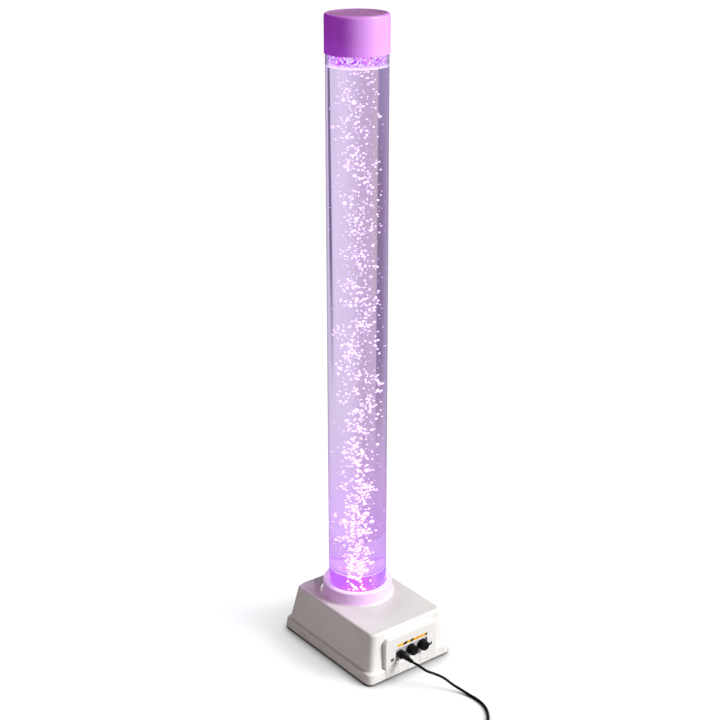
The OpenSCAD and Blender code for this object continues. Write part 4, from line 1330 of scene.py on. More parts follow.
@dataclass
class MouldedBase:
    """Moulded housing with its flange, ledge, control pad and collar, on a tray with rubber feet."""

    wall: float = 0.004
    flange_top: float = 0.021
    ledge: float = 0.005
    flange_lean: float = 0.0015
    side_lean: float = 0.007
    front_lean: float = 0.003
    rear_lean: float = 0.015
    corner: float = 0.012
    top_round: float = 0.0045
    flange_round: float = 0.003
    ledge_fillet: float = 0.0015
    edge_soft: float = 0.0008
    collar_rise: float = 0.024
    collar_wall: float = 0.0097
    collar_flare: float = 0.001
    collar_fillet: float = 0.005
    collar_round: float = 0.002
    tube_fit: float = 0.0003
    pad_half: float = 0.056
    pad_x: float = 0.002
    pad_drop: float = 0.013
    pad_corner: float = 0.008
    pad_edge: float = 0.0016
    pad_wall: float = 0.003
    window_half: float = 0.0345
    window_foot: float = 0.0255
    window_top: float = 0.052
    window_corner: float = 0.0006
    window_chamfer: float = 0.0004
    screw_pitch: float = 0.084
    screw_z: float = 0.036
    counterbore: float = 0.0031
    counterbore_depth: float = 0.0022
    front_mark_band: float = 0.0025
    extent: Extent = field(default_factory=lambda: Extent.of("base_housing"))
    tube: Extent = field(default_factory=lambda: Extent.of("water_tube"))

    def __post_init__(self) -> None:
        """Works out the levels that follow from the sizes."""
        self.foot = self.extent.low[2]
        self.top = self.extent.high[2] - self.collar_rise
        self.front = -self.extent.low[1]
        self.inset = self.flange_lean + self.ledge
        self.axis = np.array([0.0, self.tube.centre[1], 0.0])
        self.tube_r = self.tube.size[0] / 2
        self.bore = self.tube_r + self.tube_fit

    def build(self) -> None:
        """Builds the housing and dresses what is under it."""
        housing = self.shell()
        soften(housing)
        finish = WhiteMoulding(
            "white_moulding", self.axis[1], self.top, self.extent.high[2], self.bore, self.foot,
            self.front - self.front_mark_band, tuple((self.screw_x(side), self.screw_z) for side in (-1, 1)),
        )
        settle(housing, Body.BASE, finish, ["base_housing"])
        dress(["base_plate"], DARK_TRAY)
        dress(["rubber_feet"], SOFT_BLACK)
        dress(["base_screws"], STEEL)

    def screw_x(self, side: int) -> float:
        """Place along x of the panel screw on the left, -1, or on the right, 1."""
        return self.pad_x + side * self.screw_pitch / 2

    def rings(self, table: Array) -> Array:
        """Outlines of the housing at several levels.

        Args:
            table: Rows of height, side inset, front inset, rear inset and corner radius.

        Returns:
            A grid of points, one ring for each row.
        """
        height, side, front, rear, corner = np.asarray(table, dtype=float).T
        low = np.stack([self.extent.low[0] + side, self.extent.low[1] + front], axis=1)
        high = np.stack([self.extent.high[0] - side, self.extent.high[1] - rear], axis=1)
        return levels(round_rects(low, high, corner), height)

    def flange_levels(self) -> Array:
        """Levels of the flange: a soft foot edge, a wall that leans in and a quarter round.

        At angle a of the round the height is top - r (1 - sin a) and the inset is the wall's lean at that
        height plus r (1 - cos a).
        """
        a = np.linspace(0, QUARTER, 9)
        z = self.flange_top - self.flange_round * (1 - np.sin(a))
        lean = self.flange_lean * (z - self.foot) / (self.flange_top - self.foot)
        d = lean + self.flange_round * (1 - np.cos(a))
        round_part = np.stack([z, d, d, d, self.corner - d / 2], axis=1)
        e = self.edge_soft
        foot_part = np.array([[self.foot, e, e, e, self.corner], [self.foot + e, 0, 0, 0, self.corner]])
        return np.vstack([foot_part, round_part])

    def fillet_levels(self) -> Array:
        """Levels of the fillet from the ledge up into the body: a quarter round that turns outwards."""
        a = np.linspace(0, QUARTER, 6)
        d = self.inset - self.ledge_fillet * (1 - np.sin(a))
        z = self.flange_top + self.ledge_fillet * (1 - np.cos(a))
        return np.stack([z, d, d, d, np.full_like(z, self.corner - 0.001)], axis=1)

    def top_levels(self) -> Array:
        """Levels of the leaning body and its rounded upper edge.

        The walls lean in by their full lean times the share k of the way up, and the edge turns in by
        r (1 - cos a) at height top - r (1 - sin a).
        """
        a = np.linspace(0, QUARTER, 10)
        z = self.top - self.top_round * (1 - np.sin(a))
        k = (z - self.flange_top) / (self.top - self.flange_top)
        turn = self.top_round * (1 - np.cos(a))
        e = self.inset + turn
        leans = [e + lean * k for lean in (self.side_lean, self.front_lean, self.rear_lean)]
        return np.stack([z, *leans, self.corner - turn], axis=1)

    def body_form(self) -> Piece:
        """Closed outer form of the housing without its pad and collar."""
        table = np.vstack([self.flange_levels(), self.fillet_levels(), self.top_levels()])
        return skin("base_housing_shell", self.rings(table))

    def hollow(self) -> Piece:
        """Space inside the walls, one wall in from the outer form."""
        wall, neck, corner = self.wall, self.inset + self.wall, self.corner - self.wall
        step = self.flange_top - wall
        floor = self.foot + 0.004
        ceiling = self.top - wall
        lean = wall + self.flange_lean
        rings = self.rings([
            [self.foot - 0.001, wall, wall, wall, corner],
            [floor, wall, wall, wall, corner],
            [step - 0.002, lean, lean, lean, corner],
            [step, neck, neck, neck, corner],
            [ceiling, neck + self.side_lean, neck + self.front_lean, neck + self.rear_lean, corner],
        ])
        return skin("hollow", rings)

    def front_prism(self, name: str, box: Array, corner: float, steps: Array) -> Piece:
        """Prism that points out of the front, with its outline moved in or out at each step.

        Args:
            name: Name of the piece.
            box: Left, foot, right and top of the outline.
            corner: Radius of its corners.
            steps: Rows of distance in front of the middle plane and growth of the outline.

        Returns:
            The prism.
        """
        steps = np.asarray(steps, dtype=float)
        grow = steps[:, 1:]
        low = np.array([box[:2]]) - grow
        high = np.array([box[2:]]) + grow
        radius = np.maximum(corner + steps[:, 1], 1e-4)
        return skin(name, Facing.FRONT.place(levels(round_rects(low, high, radius, 6), steps[:, 0])))

    def pad(self) -> Piece:
        """Raised pad that carries the control panel, with a quarter-round edge."""
        a = np.linspace(0, QUARTER, 7)
        edge = self.pad_edge
        back = self.front - (self.inset + self.wall + self.front_lean)
        rounded = np.stack([self.front - edge * (1 - np.sin(a)), -edge * (1 - np.cos(a))], axis=1)
        box = np.array([
            self.pad_x - self.pad_half, self.foot + self.edge_soft,
            self.pad_x + self.pad_half, self.top - self.pad_drop,
        ])
        return self.front_prism("pad", box, self.pad_corner, np.vstack([[back, 0.0], rounded]))

    def pocket(self) -> Piece:
        """Space behind the pad's face."""
        w = self.pad_wall
        box = np.array([
            self.pad_x - self.pad_half + w, self.flange_top - 0.006,
            self.pad_x + self.pad_half - w, self.top - self.pad_drop - w,
        ])
        depth = self.inset + self.wall + self.front_lean
        steps = [[self.front - w - depth, 0.0], [self.front - w, 0.0]]
        return self.front_prism("pocket", box, 0.002, steps)

    def window(self) -> Piece:
        """Cut for the window in the pad, with a fine chamfer at the face."""
        c = self.window_chamfer
        box = np.array([
            self.pad_x - self.window_half, self.window_foot, self.pad_x + self.window_half, self.window_top,
        ])
        steps = [[self.front - 0.005, 0.0], [self.front - c, 0.0], [self.front + 0.003, c + 0.003]]
        return self.front_prism("window", box, self.window_corner, steps)

    def screw_hole(self, side: int) -> Piece:
        """Stepped hole for a panel screw.

        Args:
            side: -1 for the left one, 1 for the right one.

        Returns:
            The cutter.
        """
        deep = self.front - self.counterbore_depth
        profile = np.array([
            [0.0, self.front - 0.006], [0.0016, self.front - 0.006], [0.0016, deep],
            [self.counterbore, deep], [self.counterbore, self.front + 0.001], [0.0, self.front + 0.001],
        ])
        centre = np.array([self.screw_x(side), 0.0, self.screw_z])
        return turned("screw_hole", profile, centre, 32, Facing.FRONT)

    def collar(self) -> Piece:
        """Collar round the tube: inner sleeve, foot fillet, flared wall and rounded upper edge.

        Its foot is a quarter round that runs out level with the housing's top.
        """
        outer = self.bore + self.collar_wall
        skirt = outer + self.collar_flare + self.collar_fillet
        ceiling = self.top - self.wall
        rim = self.extent.high[2]
        sleeve = self.bore + self.wall
        fillet = arc((skirt, self.top + self.collar_fillet), self.collar_fillet, 270, 180, 10)
        crown = arc((outer - self.collar_round, rim - self.collar_round), self.collar_round, 0, 90, 8)
        inside = self.tube_r - 0.004
        profile = np.vstack([
            [[inside, ceiling - 0.018], [sleeve, ceiling - 0.018], [sleeve, ceiling + 0.002]],
            [[skirt, ceiling + 0.002]], fillet, crown, [[inside, rim]],
        ])
        return turned("collar", profile, self.axis, 128)

    def shell(self) -> Piece:
        """Joins the outer forms and cuts the hollow, the bore, the window and the screw holes."""
        housing = self.body_form()
        combine(housing, self.pad(), Combine.ADD)
        combine(housing, self.hollow(), Combine.CUT)
        combine(housing, self.pocket(), Combine.CUT)
        combine(housing, self.collar(), Combine.ADD)
        rim, past = self.extent.high[2], 0.001
        below, lip = 0.05, 0.0009
        bore = np.array([
            [0.0, below], [self.bore, below], [self.bore, rim - lip], [self.bore + lip + past, rim + past],
            [0.0, rim + past],
        ])
        combine(housing, turned("bore", bore, self.axis, 128), Combine.CUT)
        combine(housing, self.window(), Combine.CUT)
        for side in (-1, 1):
            combine(housing, self.screw_hole(side), Combine.CUT)
        return housing


@dataclass(frozen=True)
class Radii:
    """Radii of bubbles: a log-normal spread round a middle one, held between a least and a most."""

    middle: float
    spread: float
    least: float
    most: float

    def draw(self, rng: np.random.Generator, count: int, grow: object = 1.0) -> Array:
        """Draws a number of radii, each multiplied by its growth before it is held."""
        return np.clip(rng.lognormal(math.log(self.middle), self.spread, count) * grow, self.least, self.most)


@dataclass
class WaterColumn:
    """Clear tube with its water, the lit disc at its foot, the rising bubbles and the foam on top.

    Each large bubble has an angle round the axis, a share of the way up the disc and a radius.
    """

    seed: int = 11
    clearance: float = 0.0003
    ripple: float = 0.0005
    wander: float = 0.0050
    spread_low: float = 0.0094
    spread_high: float = 0.0086
    clusters: int = 250
    low_clusters: int = 24
    low_stretch: float = 0.16
    clustered: Radii = Radii(0.00122, 0.34, 0.0007, 0.0032)
    lone_count: int = 190
    lone_spread: float = 0.0125
    lone: Radii = Radii(0.0012, 0.35, 0.0005, 0.0024)
    fine_count: int = 700
    fine_spread: float = 0.0165
    stray_count: int = 34
    stray_side: tuple[float, float] = (0.0190, -0.0147)
    stray_height: Run = (0.36, 0.96)
    stray_spread: float = 0.0022
    stray: Radii = Radii(0.0017, 0.2, 0.0010, 0.0026)
    fresh_count: int = 52
    fresh: Radii = Radii(0.0019, 0.4, 0.0008, 0.0034)
    air_side: float = -128.0
    air_fan: float = 26.0
    chain_count: int = 7
    chain_length: int = 4
    wall_count: int = 26
    clinging: Radii = Radii(0.0008, 0.4, 0.0004, 0.0017)
    foam_count: int = 330
    foam_bubble: Radii = Radii(0.0016, 0.35, 0.0008, 0.0030)
    bead_count: int = 190
    film_height: float = 0.0205
    large_bubbles: tuple[Point, ...] = (
        (-146.0, 1.02, 0.0034), (-142.5, 1.10, 0.0026), (-139.0, 1.00, 0.0034), (-135.0, 1.06, 0.0029),
        (-148.0, 0.66, 0.0030), (-141.5, 0.50, 0.0023), (-138.0, 0.36, 0.0029), (-135.5, 0.27, 0.0026),
        (-132.0, 0.20, 0.0030), (-128.5, 0.07, 0.0022), (-131.5, 0.96, 0.0033), (-127.5, 0.88, 0.0036),
        (-123.5, 0.97, 0.0034), (-120.0, 1.10, 0.0025), (-118.0, 1.30, 0.0028), (-116.5, 1.55, 0.0021),
        (-121.5, 0.70, 0.0031), (-118.5, 0.44, 0.0021), (-120.5, 0.24, 0.0026), (-116.0, 0.06, 0.0030),
        (-112.0, 0.02, 0.0021), (-100.0, 0.66, 0.0023), (-145.0, 0.03, 0.0021), (-136.0, 0.01, 0.0022),
    )
    tube: Extent = field(default_factory=lambda: Extent.of("water_tube"))
    water: Extent = field(default_factory=lambda: Extent.of("water"))
    disc: Extent = field(default_factory=lambda: Extent.of("base_disc"))

    def __post_init__(self) -> None:
        """Works out the axis and the radii."""
        self.axis = np.array([0.0, self.tube.centre[1], 0.0])
        self.outer = self.tube.size[0] / 2
        self.bore = self.water.size[0] / 2
        self.surface = self.water.high[2]
        self.random = np.random.default_rng(self.seed)

    def build(self) -> None:
        """Builds the column and what shows in it."""
        self.column()
        self.lit_disc()
        self.rising_bubbles()
        self.disc_bubbles()
        self.edge_sparkles()
        self.foam()
        self.splash_film()

    def column(self) -> None:
        """One closed form for the tube and its water, because no line shows between them.

        The profile runs out over the water's foot, down the bore, round the tube's ends and wall, and
        back over the surface, which climbs the wall by a fine meniscus.  Ripples are a product of waves
        in radius and angle.
        """
        foot, top = self.tube.low[2], self.tube.high[2]
        soft = 0.0006
        rise = 0.0014
        away = np.array([0.0, 0.0005, 0.0012, 0.0022, 0.004])
        meniscus = np.stack([self.bore - away, self.surface + rise * np.exp(-away / 0.0012)], axis=1)
        across = np.linspace(self.bore - 0.006, 0.0, 14)
        calm = np.stack([across, np.full_like(across, self.surface)], axis=1)
        profile = np.vstack([
            [[0.0, self.disc.low[2]], [self.bore, self.disc.low[2]], [self.bore, foot], [self.outer, foot]],
            [[self.outer, top - soft], [self.outer - soft, top], [self.bore + soft, top]],
            [[self.bore, top - soft]], meniscus, calm,
        ])
        piece = turned("clear_tube_and_water", profile, self.axis, 144)
        self.ruffle(piece)
        soften(piece, 40.0, weighted=False)
        finish = LitWater("clear_acrylic_and_water", self.disc.high[2], self.surface)
        settle(piece, Body.BASE, finish, ["water_tube", "water"])

    def ruffle(self, piece: Piece) -> None:
        """Adds ripples to the water's surface: sin(130 r + 3 a) + sin(310 r - 5 a), fading to the wall."""
        mesh = piece.data
        points = np.empty(len(mesh.vertices) * 3, dtype=np.float32)
        mesh.vertices.foreach_get("co", points)
        points = points.reshape(-1, 3)
        x, y = points[:, 0], points[:, 1] - self.axis[1]
        r, a = np.hypot(x, y), np.arctan2(y, x)
        loose = (np.abs(points[:, 2] - self.surface) < 1e-5) & (r < self.bore - 0.005)
        wave = np.sin(130 * r + 3 * a) + np.sin(310 * r - 5 * a)
        points[:, 2] += np.where(loose, self.ripple * wave * (1 - r / self.bore), 0)
        mesh.vertices.foreach_set("co", points.ravel())
        mesh.update()

    def lit_disc(self) -> None:
        """Clear disc at the tube's foot, with a fine chamfer at its edges and the air hole in its middle."""
        r = self.bore - self.clearance
        low, high = self.disc.low[2] + self.clearance, self.disc.high[2] - self.clearance
        edge, hole = 0.0006, 0.0015
        profile = np.array([
            [hole, low], [r - edge, low], [r, low + edge], [r, high - edge], [r - edge, high], [hole, high],
        ])
        disc = turned("lit_disc", profile, self.axis, 96)
        soften(disc)
        finish = LitDisc("lit_clear_disc", self.axis[1], low, high)
        settle(disc, Body.BASE, finish, ["base_disc"])

    def ball(self, around: int = 8, bands: int = 5) -> tuple[Array, Array, Array]:
        """Points, four-sided faces and end triangles of a ball of radius one.

        Points are (cos p cos a, cos p sin a, sin p) on bands of latitude p, with one point at each pole.

        Args:
            around: Points in a band.
            bands: Number of bands.

        Returns:
            Points, four-sided faces and triangles.
        """
        p = np.linspace(-QUARTER, QUARTER, bands + 2)[1:-1, None]
        a = np.linspace(0, FULL_TURN, around, endpoint=False)[None, :]
        band = np.stack([np.cos(p) * np.cos(a), np.cos(p) * np.sin(a), np.sin(p) + 0 * a], axis=2)
        points = np.vstack([band.reshape(-1, 3), [[0, 0, -1], [0, 0, 1]]])
        number = np.arange(bands * around).reshape(bands, around)
        ahead = np.roll(number, -1, axis=1)
        quads = np.stack([number[:-1], ahead[:-1], ahead[1:], number[1:]], axis=2).reshape(-1, 4)
        south, north = bands * around, bands * around + 1
        low = np.stack([ahead[0], number[0], np.full(around, south)], axis=1)
        high = np.stack([number[-1], ahead[-1], np.full(around, north)], axis=1)
        return points, quads, np.vstack([low, high])

    def balls(self, name: str, centres: Array, radii: Array, squash: Array, tones: Array) -> Piece:
        """Many small balls in one mesh, with a tone for each.

        Args:
            name: Name of the piece.
            centres: Middle of each ball.
            radii: Radius of each ball.
            squash: Height of each ball as a share of its width.
            tones: Brightness of each ball, from 0 to 1.

        Returns:
            The piece.
        """
        unit, quads, triangles = self.ball()
        scale = np.stack([radii, radii, radii * squash], axis=1)
        points = (unit[None] * scale[:, None] + centres[:, None]).reshape(-1, 3)
        shift = (np.arange(len(centres)) * len(unit))[:, None, None]
        faces = [(group[None] + shift).reshape(-1, group.shape[1]) for group in (quads, triangles)]
        piece = to_mesh(name, points, faces)
        tone = piece.data.attributes.new("tone", "FLOAT", "POINT")
        tone.data.foreach_set("value", np.repeat(tones, len(unit)).astype(np.float32))
        piece.data.shade_smooth()
        return piece

    def sparkle(self) -> Sparkle:
        """Finish that all bubbles share."""
        return Sparkle("lit_bubbles", self.disc.high[2], self.surface)

    def path(self, z: Array) -> Array:
        """Middle of the bubbles' path: two slow waves in each direction that grow upwards.

        Args:
            z: Heights.

        Returns:
            Place along x and y at each height, from the axis.
        """
        rise = (z - self.disc.high[2]) / (self.surface - self.disc.high[2])
        grow = self.wander * (0.35 + 0.65 * rise)
        x = grow * (np.sin(17.0 * z + 0.6) + 0.5 * np.sin(41.0 * z + 2.0))
        y = grow * (np.cos(13.0 * z + 1.1) + 0.5 * np.sin(36.0 * z + 0.3))
        return np.stack([x, y], axis=1)

    def within_bore(self, flat: Array, radii: Array) -> Array:
        """Pulls places that would pass the wall back inside it.

        Args:
            flat: Places along x and y, from the axis.
            radii: Radius of each bubble.

        Returns:
            The places, each far enough in for its bubble.
        """
        limit = self.bore - 0.0012 - radii
        away = np.hypot(flat[:, 0], flat[:, 1])
        return flat * np.minimum(1.0, limit / np.maximum(away, 1e-9))[:, None]

    def rising_bubbles(self) -> None:
        """Bubbles that rise in clusters along the path, larger and closer together low down.

        Cluster middles are spread evenly up the column with a share thrown in low down.  Each cluster
        scatters its bubbles round its middle, single bubbles and fine ones fill in between, and a loose
        string of strays climbs to the camera's right of them.
        """
        low, high = self.disc.high[2] + 0.003, self.surface - 0.003
        rng = self.random
        steps = np.linspace(low, high, self.clusters) + rng.normal(0, 0.004, self.clusters)
        middles = np.concatenate([steps, rng.uniform(low, low + self.low_stretch, self.low_clusters)])
        counts = rng.integers(2, 8, len(middles))
        z_mid = np.repeat(middles, counts)
        total = len(z_mid)
        rise = (z_mid - low) / (high - low)
        spread = self.spread_low + (self.spread_high - self.spread_low) * rise
        offsets = rng.normal(0, 1, (len(middles), 2))
        flat = self.path(z_mid) + np.repeat(offsets, counts, axis=0) * spread[:, None]
        flat += rng.normal(0, 0.0046, (total, 2))
        z = np.clip(z_mid + rng.normal(0, 0.0050, total), low, high)
        radii = self.clustered.draw(rng, total, 1.50 - 0.62 * np.minimum(1.0, 1.5 * rise))

        z_lone = rng.uniform(low, high, self.lone_count)
        flat_lone = self.path(z_lone) + rng.normal(0, self.lone_spread, (self.lone_count, 2))
        radii_lone = self.lone.draw(rng, self.lone_count)

        z_fine = rng.uniform(low, high, self.fine_count)
        flat_fine = self.path(z_fine) + rng.normal(0, self.fine_spread, (self.fine_count, 2))
        radii_fine = rng.uniform(0.0004, 0.0009, self.fine_count)

        z_stray = rng.uniform(*self.stray_height, self.stray_count)
        flat_stray = np.array(self.stray_side) + rng.normal(0, self.stray_spread, (self.stray_count, 2))
        radii_stray = self.stray.draw(rng, self.stray_count)

        z = np.concatenate([z, z_lone, z_fine, z_stray])
        radii = np.concatenate([radii, radii_lone, radii_fine, radii_stray])
        flat = self.within_bore(np.vstack([flat, flat_lone, flat_fine, flat_stray]), radii)
        centres = np.column_stack([flat, z]) + self.axis
        tones = np.concatenate([
            rng.uniform(0.50, 1.0, total), rng.uniform(0.30, 1.0, self.lone_count),
            rng.uniform(0.0, 0.6, self.fine_count), rng.uniform(0.80, 1.0, self.stray_count),
        ])
        squash = rng.uniform(0.85, 1.20, len(z))
        bubbles = self.balls("rising_bubbles", centres, radii, squash, tones)
        settle(bubbles, Body.BASE, self.sparkle(), ["air_bubbles"])

    def disc_bubbles(self) -> None:
        """Bubbles that have just left the disc, most of them over the side where the air comes out."""
        rng, count = self.random, self.fresh_count
        angle = np.radians(rng.normal(self.air_side, self.air_fan, count))
        away = rng.uniform(0.006, self.bore - 0.004, count)
        radii = self.fresh.draw(rng, count)
        flat = self.within_bore(np.stack([away * np.cos(angle), away * np.sin(angle)], axis=1), radii)
        z = self.disc.high[2] + radii + rng.exponential(0.008, count)
        centres = np.column_stack([flat, z]) + self.axis
        tones = rng.uniform(0.75, 1.0, count)
        bubbles = self.balls("fresh_bubbles", centres, radii, rng.uniform(0.85, 1.1, count), tones)
        settle(bubbles, Body.BASE, self.sparkle())

    def edge_sparkles(self) -> None:
        """Bubbles round the disc, small in crooked chains and large where the air comes out, and strays."""
        rng, count, length, stray = self.random, self.chain_count, self.chain_length, self.wall_count
        chains = np.linspace(0, FULL_TURN, count, endpoint=False) + rng.uniform(-0.2, 0.2, count)
        angle = np.repeat(chains, length) + rng.normal(0, 0.05, count * length)
        low, high = self.disc.low[2] + 0.004, self.disc.high[2] - 0.002
        z = np.tile(np.linspace(low, high, length), count) + rng.normal(0, 0.0012, angle.size)
        angle = np.concatenate([angle, rng.uniform(0, FULL_TURN, stray)])
        z = np.concatenate([z, rng.uniform(self.disc.high[2] + 0.01, self.surface - 0.01, stray)])
        radii = self.clinging.draw(rng, angle.size)
        reach = np.full(angle.size, self.bore + 0.0010)
        reach[-stray:] = self.bore - 0.0022
        large = np.array(self.large_bubbles)
        angle = np.concatenate([angle, np.radians(large[:, 0])])
        z = np.concatenate([z, low + (high - low) * large[:, 1]])
        radii = np.concatenate([radii, large[:, 2]])
        reach = np.concatenate([reach, self.outer - 0.0006 - large[:, 2]])
        flat = np.stack([reach * np.cos(angle), reach * np.sin(angle)], axis=1)
        centres = np.column_stack([flat, z]) + self.axis
        tones = rng.uniform(0.6, 1.0, angle.size)
        sparkles = self.balls("wall_bubbles", centres, radii, np.ones(angle.size), tones)
        settle(sparkles, Body.BASE, self.sparkle())

    def foam(self) -> None:
        """Foam that floats on the water, thickest at the wall, where a ring of small beads closes it."""
        rng, count, beads = self.random, self.foam_count, self.bead_count
        reach = (self.bore - 0.0034) * np.sqrt(rng.uniform(0.05, 1.0, count))
        reach[: count // 2] = self.bore - 0.0030 - rng.exponential(0.0012, count // 2)
        angle = rng.uniform(0, FULL_TURN, count)
        radii = self.foam_bubble.draw(rng, count)
        z = self.surface + rng.uniform(0.0, 0.0022, count)
        radii = np.concatenate([radii, rng.uniform(0.0013, 0.0021, beads)])
        reach = np.concatenate([reach, self.bore - 0.0003 - radii[count:]])
        angle = np.concatenate([angle, np.linspace(0, FULL_TURN, beads, endpoint=False)])
        z = np.concatenate([z, self.surface + rng.uniform(0.0002, 0.0009, beads)])
        centres = np.stack([reach * np.cos(angle), reach * np.sin(angle), z], axis=1) + self.axis
        tones = np.concatenate([rng.uniform(0.3, 1.0, count), np.full(beads, 1.0)])
        foam = self.balls("surface_foam", centres, radii, np.full(count + beads, 0.75), tones)
        settle(foam, Body.BASE, self.sparkle())

    def splash_film(self) -> None:
        """Thin wet film on the bore between the water and the cap.

        A ring of radius r whose wall leans by fine waves: r - 0.00012 (1 + sin 9 a + sin(17 a + 900 z)).
        """
        low, high = self.surface + 0.0008, self.surface + self.film_height
        angle = np.linspace(0, FULL_TURN, 160, endpoint=False)[None, :]
        z = np.linspace(low, high, 16)[:, None]
        wave = 1 + np.sin(9 * angle) + np.sin(17 * angle + 900 * z)
        inner = self.bore - 0.0006 - 0.00012 * wave
        outer = np.broadcast_to(self.bore - 0.0002, inner.shape)
        tall = np.broadcast_to(z, inner.shape)

        def ring(r: Array, h: Array) -> Array:
            """Points at radius r and height h round the axis."""
            return np.stack([r * np.cos(angle), r * np.sin(angle), h], axis=2)

        grid = np.vstack([ring(outer, tall), ring(inner, tall)[::-1]]) + self.axis
        film = skin("wet_film", grid, closed=True)
        film.data.shade_smooth()
        settle(film, Body.BASE, SplashFilm("wet_foam_film", high))


@dataclass
class Cap:
    """Cap that drops over the tube: rounded top with a shallow stepped dish and a vent."""

    top_thickness: float = 0.003
    edge: float = 0.0045
    fit: float = 0.0003
    spigot_drop: float = 0.008
    spigot_wall: float = 0.002
    step: float = 0.0006
    land: float = 0.006
    vent: float = 0.002
    extent: Extent = field(default_factory=lambda: Extent.of("top_cap"))
    tube: Extent = field(default_factory=lambda: Extent.of("water_tube"))
    water: Extent = field(default_factory=lambda: Extent.of("water"))

    def build(self) -> None:
        """Builds the cap and dresses it."""
        foot, top = self.extent.low[2], self.extent.high[2]
        r = self.extent.size[0] / 2
        skirt = self.tube.size[0] / 2 + self.fit
        spigot = self.water.size[0] / 2 - self.fit
        inside = top - self.top_thickness
        dish = r - self.edge - 0.003
        crown = arc((r - self.edge, top - self.edge), self.edge, 0, 90, 12)
        lip = arc((r - 0.0005, foot + 0.0005), 0.0005, -90, 0, 4)
        within, drop = spigot - self.spigot_wall, inside - self.spigot_drop
        profile = np.vstack([
            [[self.vent, inside], [within, inside], [within, drop], [spigot - 0.0006, drop]],
            [[spigot, drop + 0.001], [spigot, inside], [skirt, inside]],
            [[skirt, foot + 0.0006], [skirt + 0.0004, foot]], lip, crown,
            arc((dish + 0.0012, top - 0.0012), 0.0012, 90, 150, 5),
            arc((dish - 0.0008, top - self.step + 0.0004), 0.0004, 300, 270, 3),
            arc((dish - self.land, top - self.step - 0.0006), 0.0006, 90, 150, 4),
            arc((dish - self.land - 0.0012, top - 2 * self.step + 0.0004), 0.0004, 300, 270, 3),
            [[self.vent + 0.0005, top - 2 * self.step], [self.vent, top - 2 * self.step - 0.0005]],
        ])
        axis = np.array([0.0, self.extent.centre[1], 0.0])
        cap = turned("top_cap_shell", profile, axis, 144)
        soften(cap)
        finish = GlowingCap("glowing_cap", axis[1], foot, top)
        settle(cap, Body.CAP, finish, ["top_cap"])


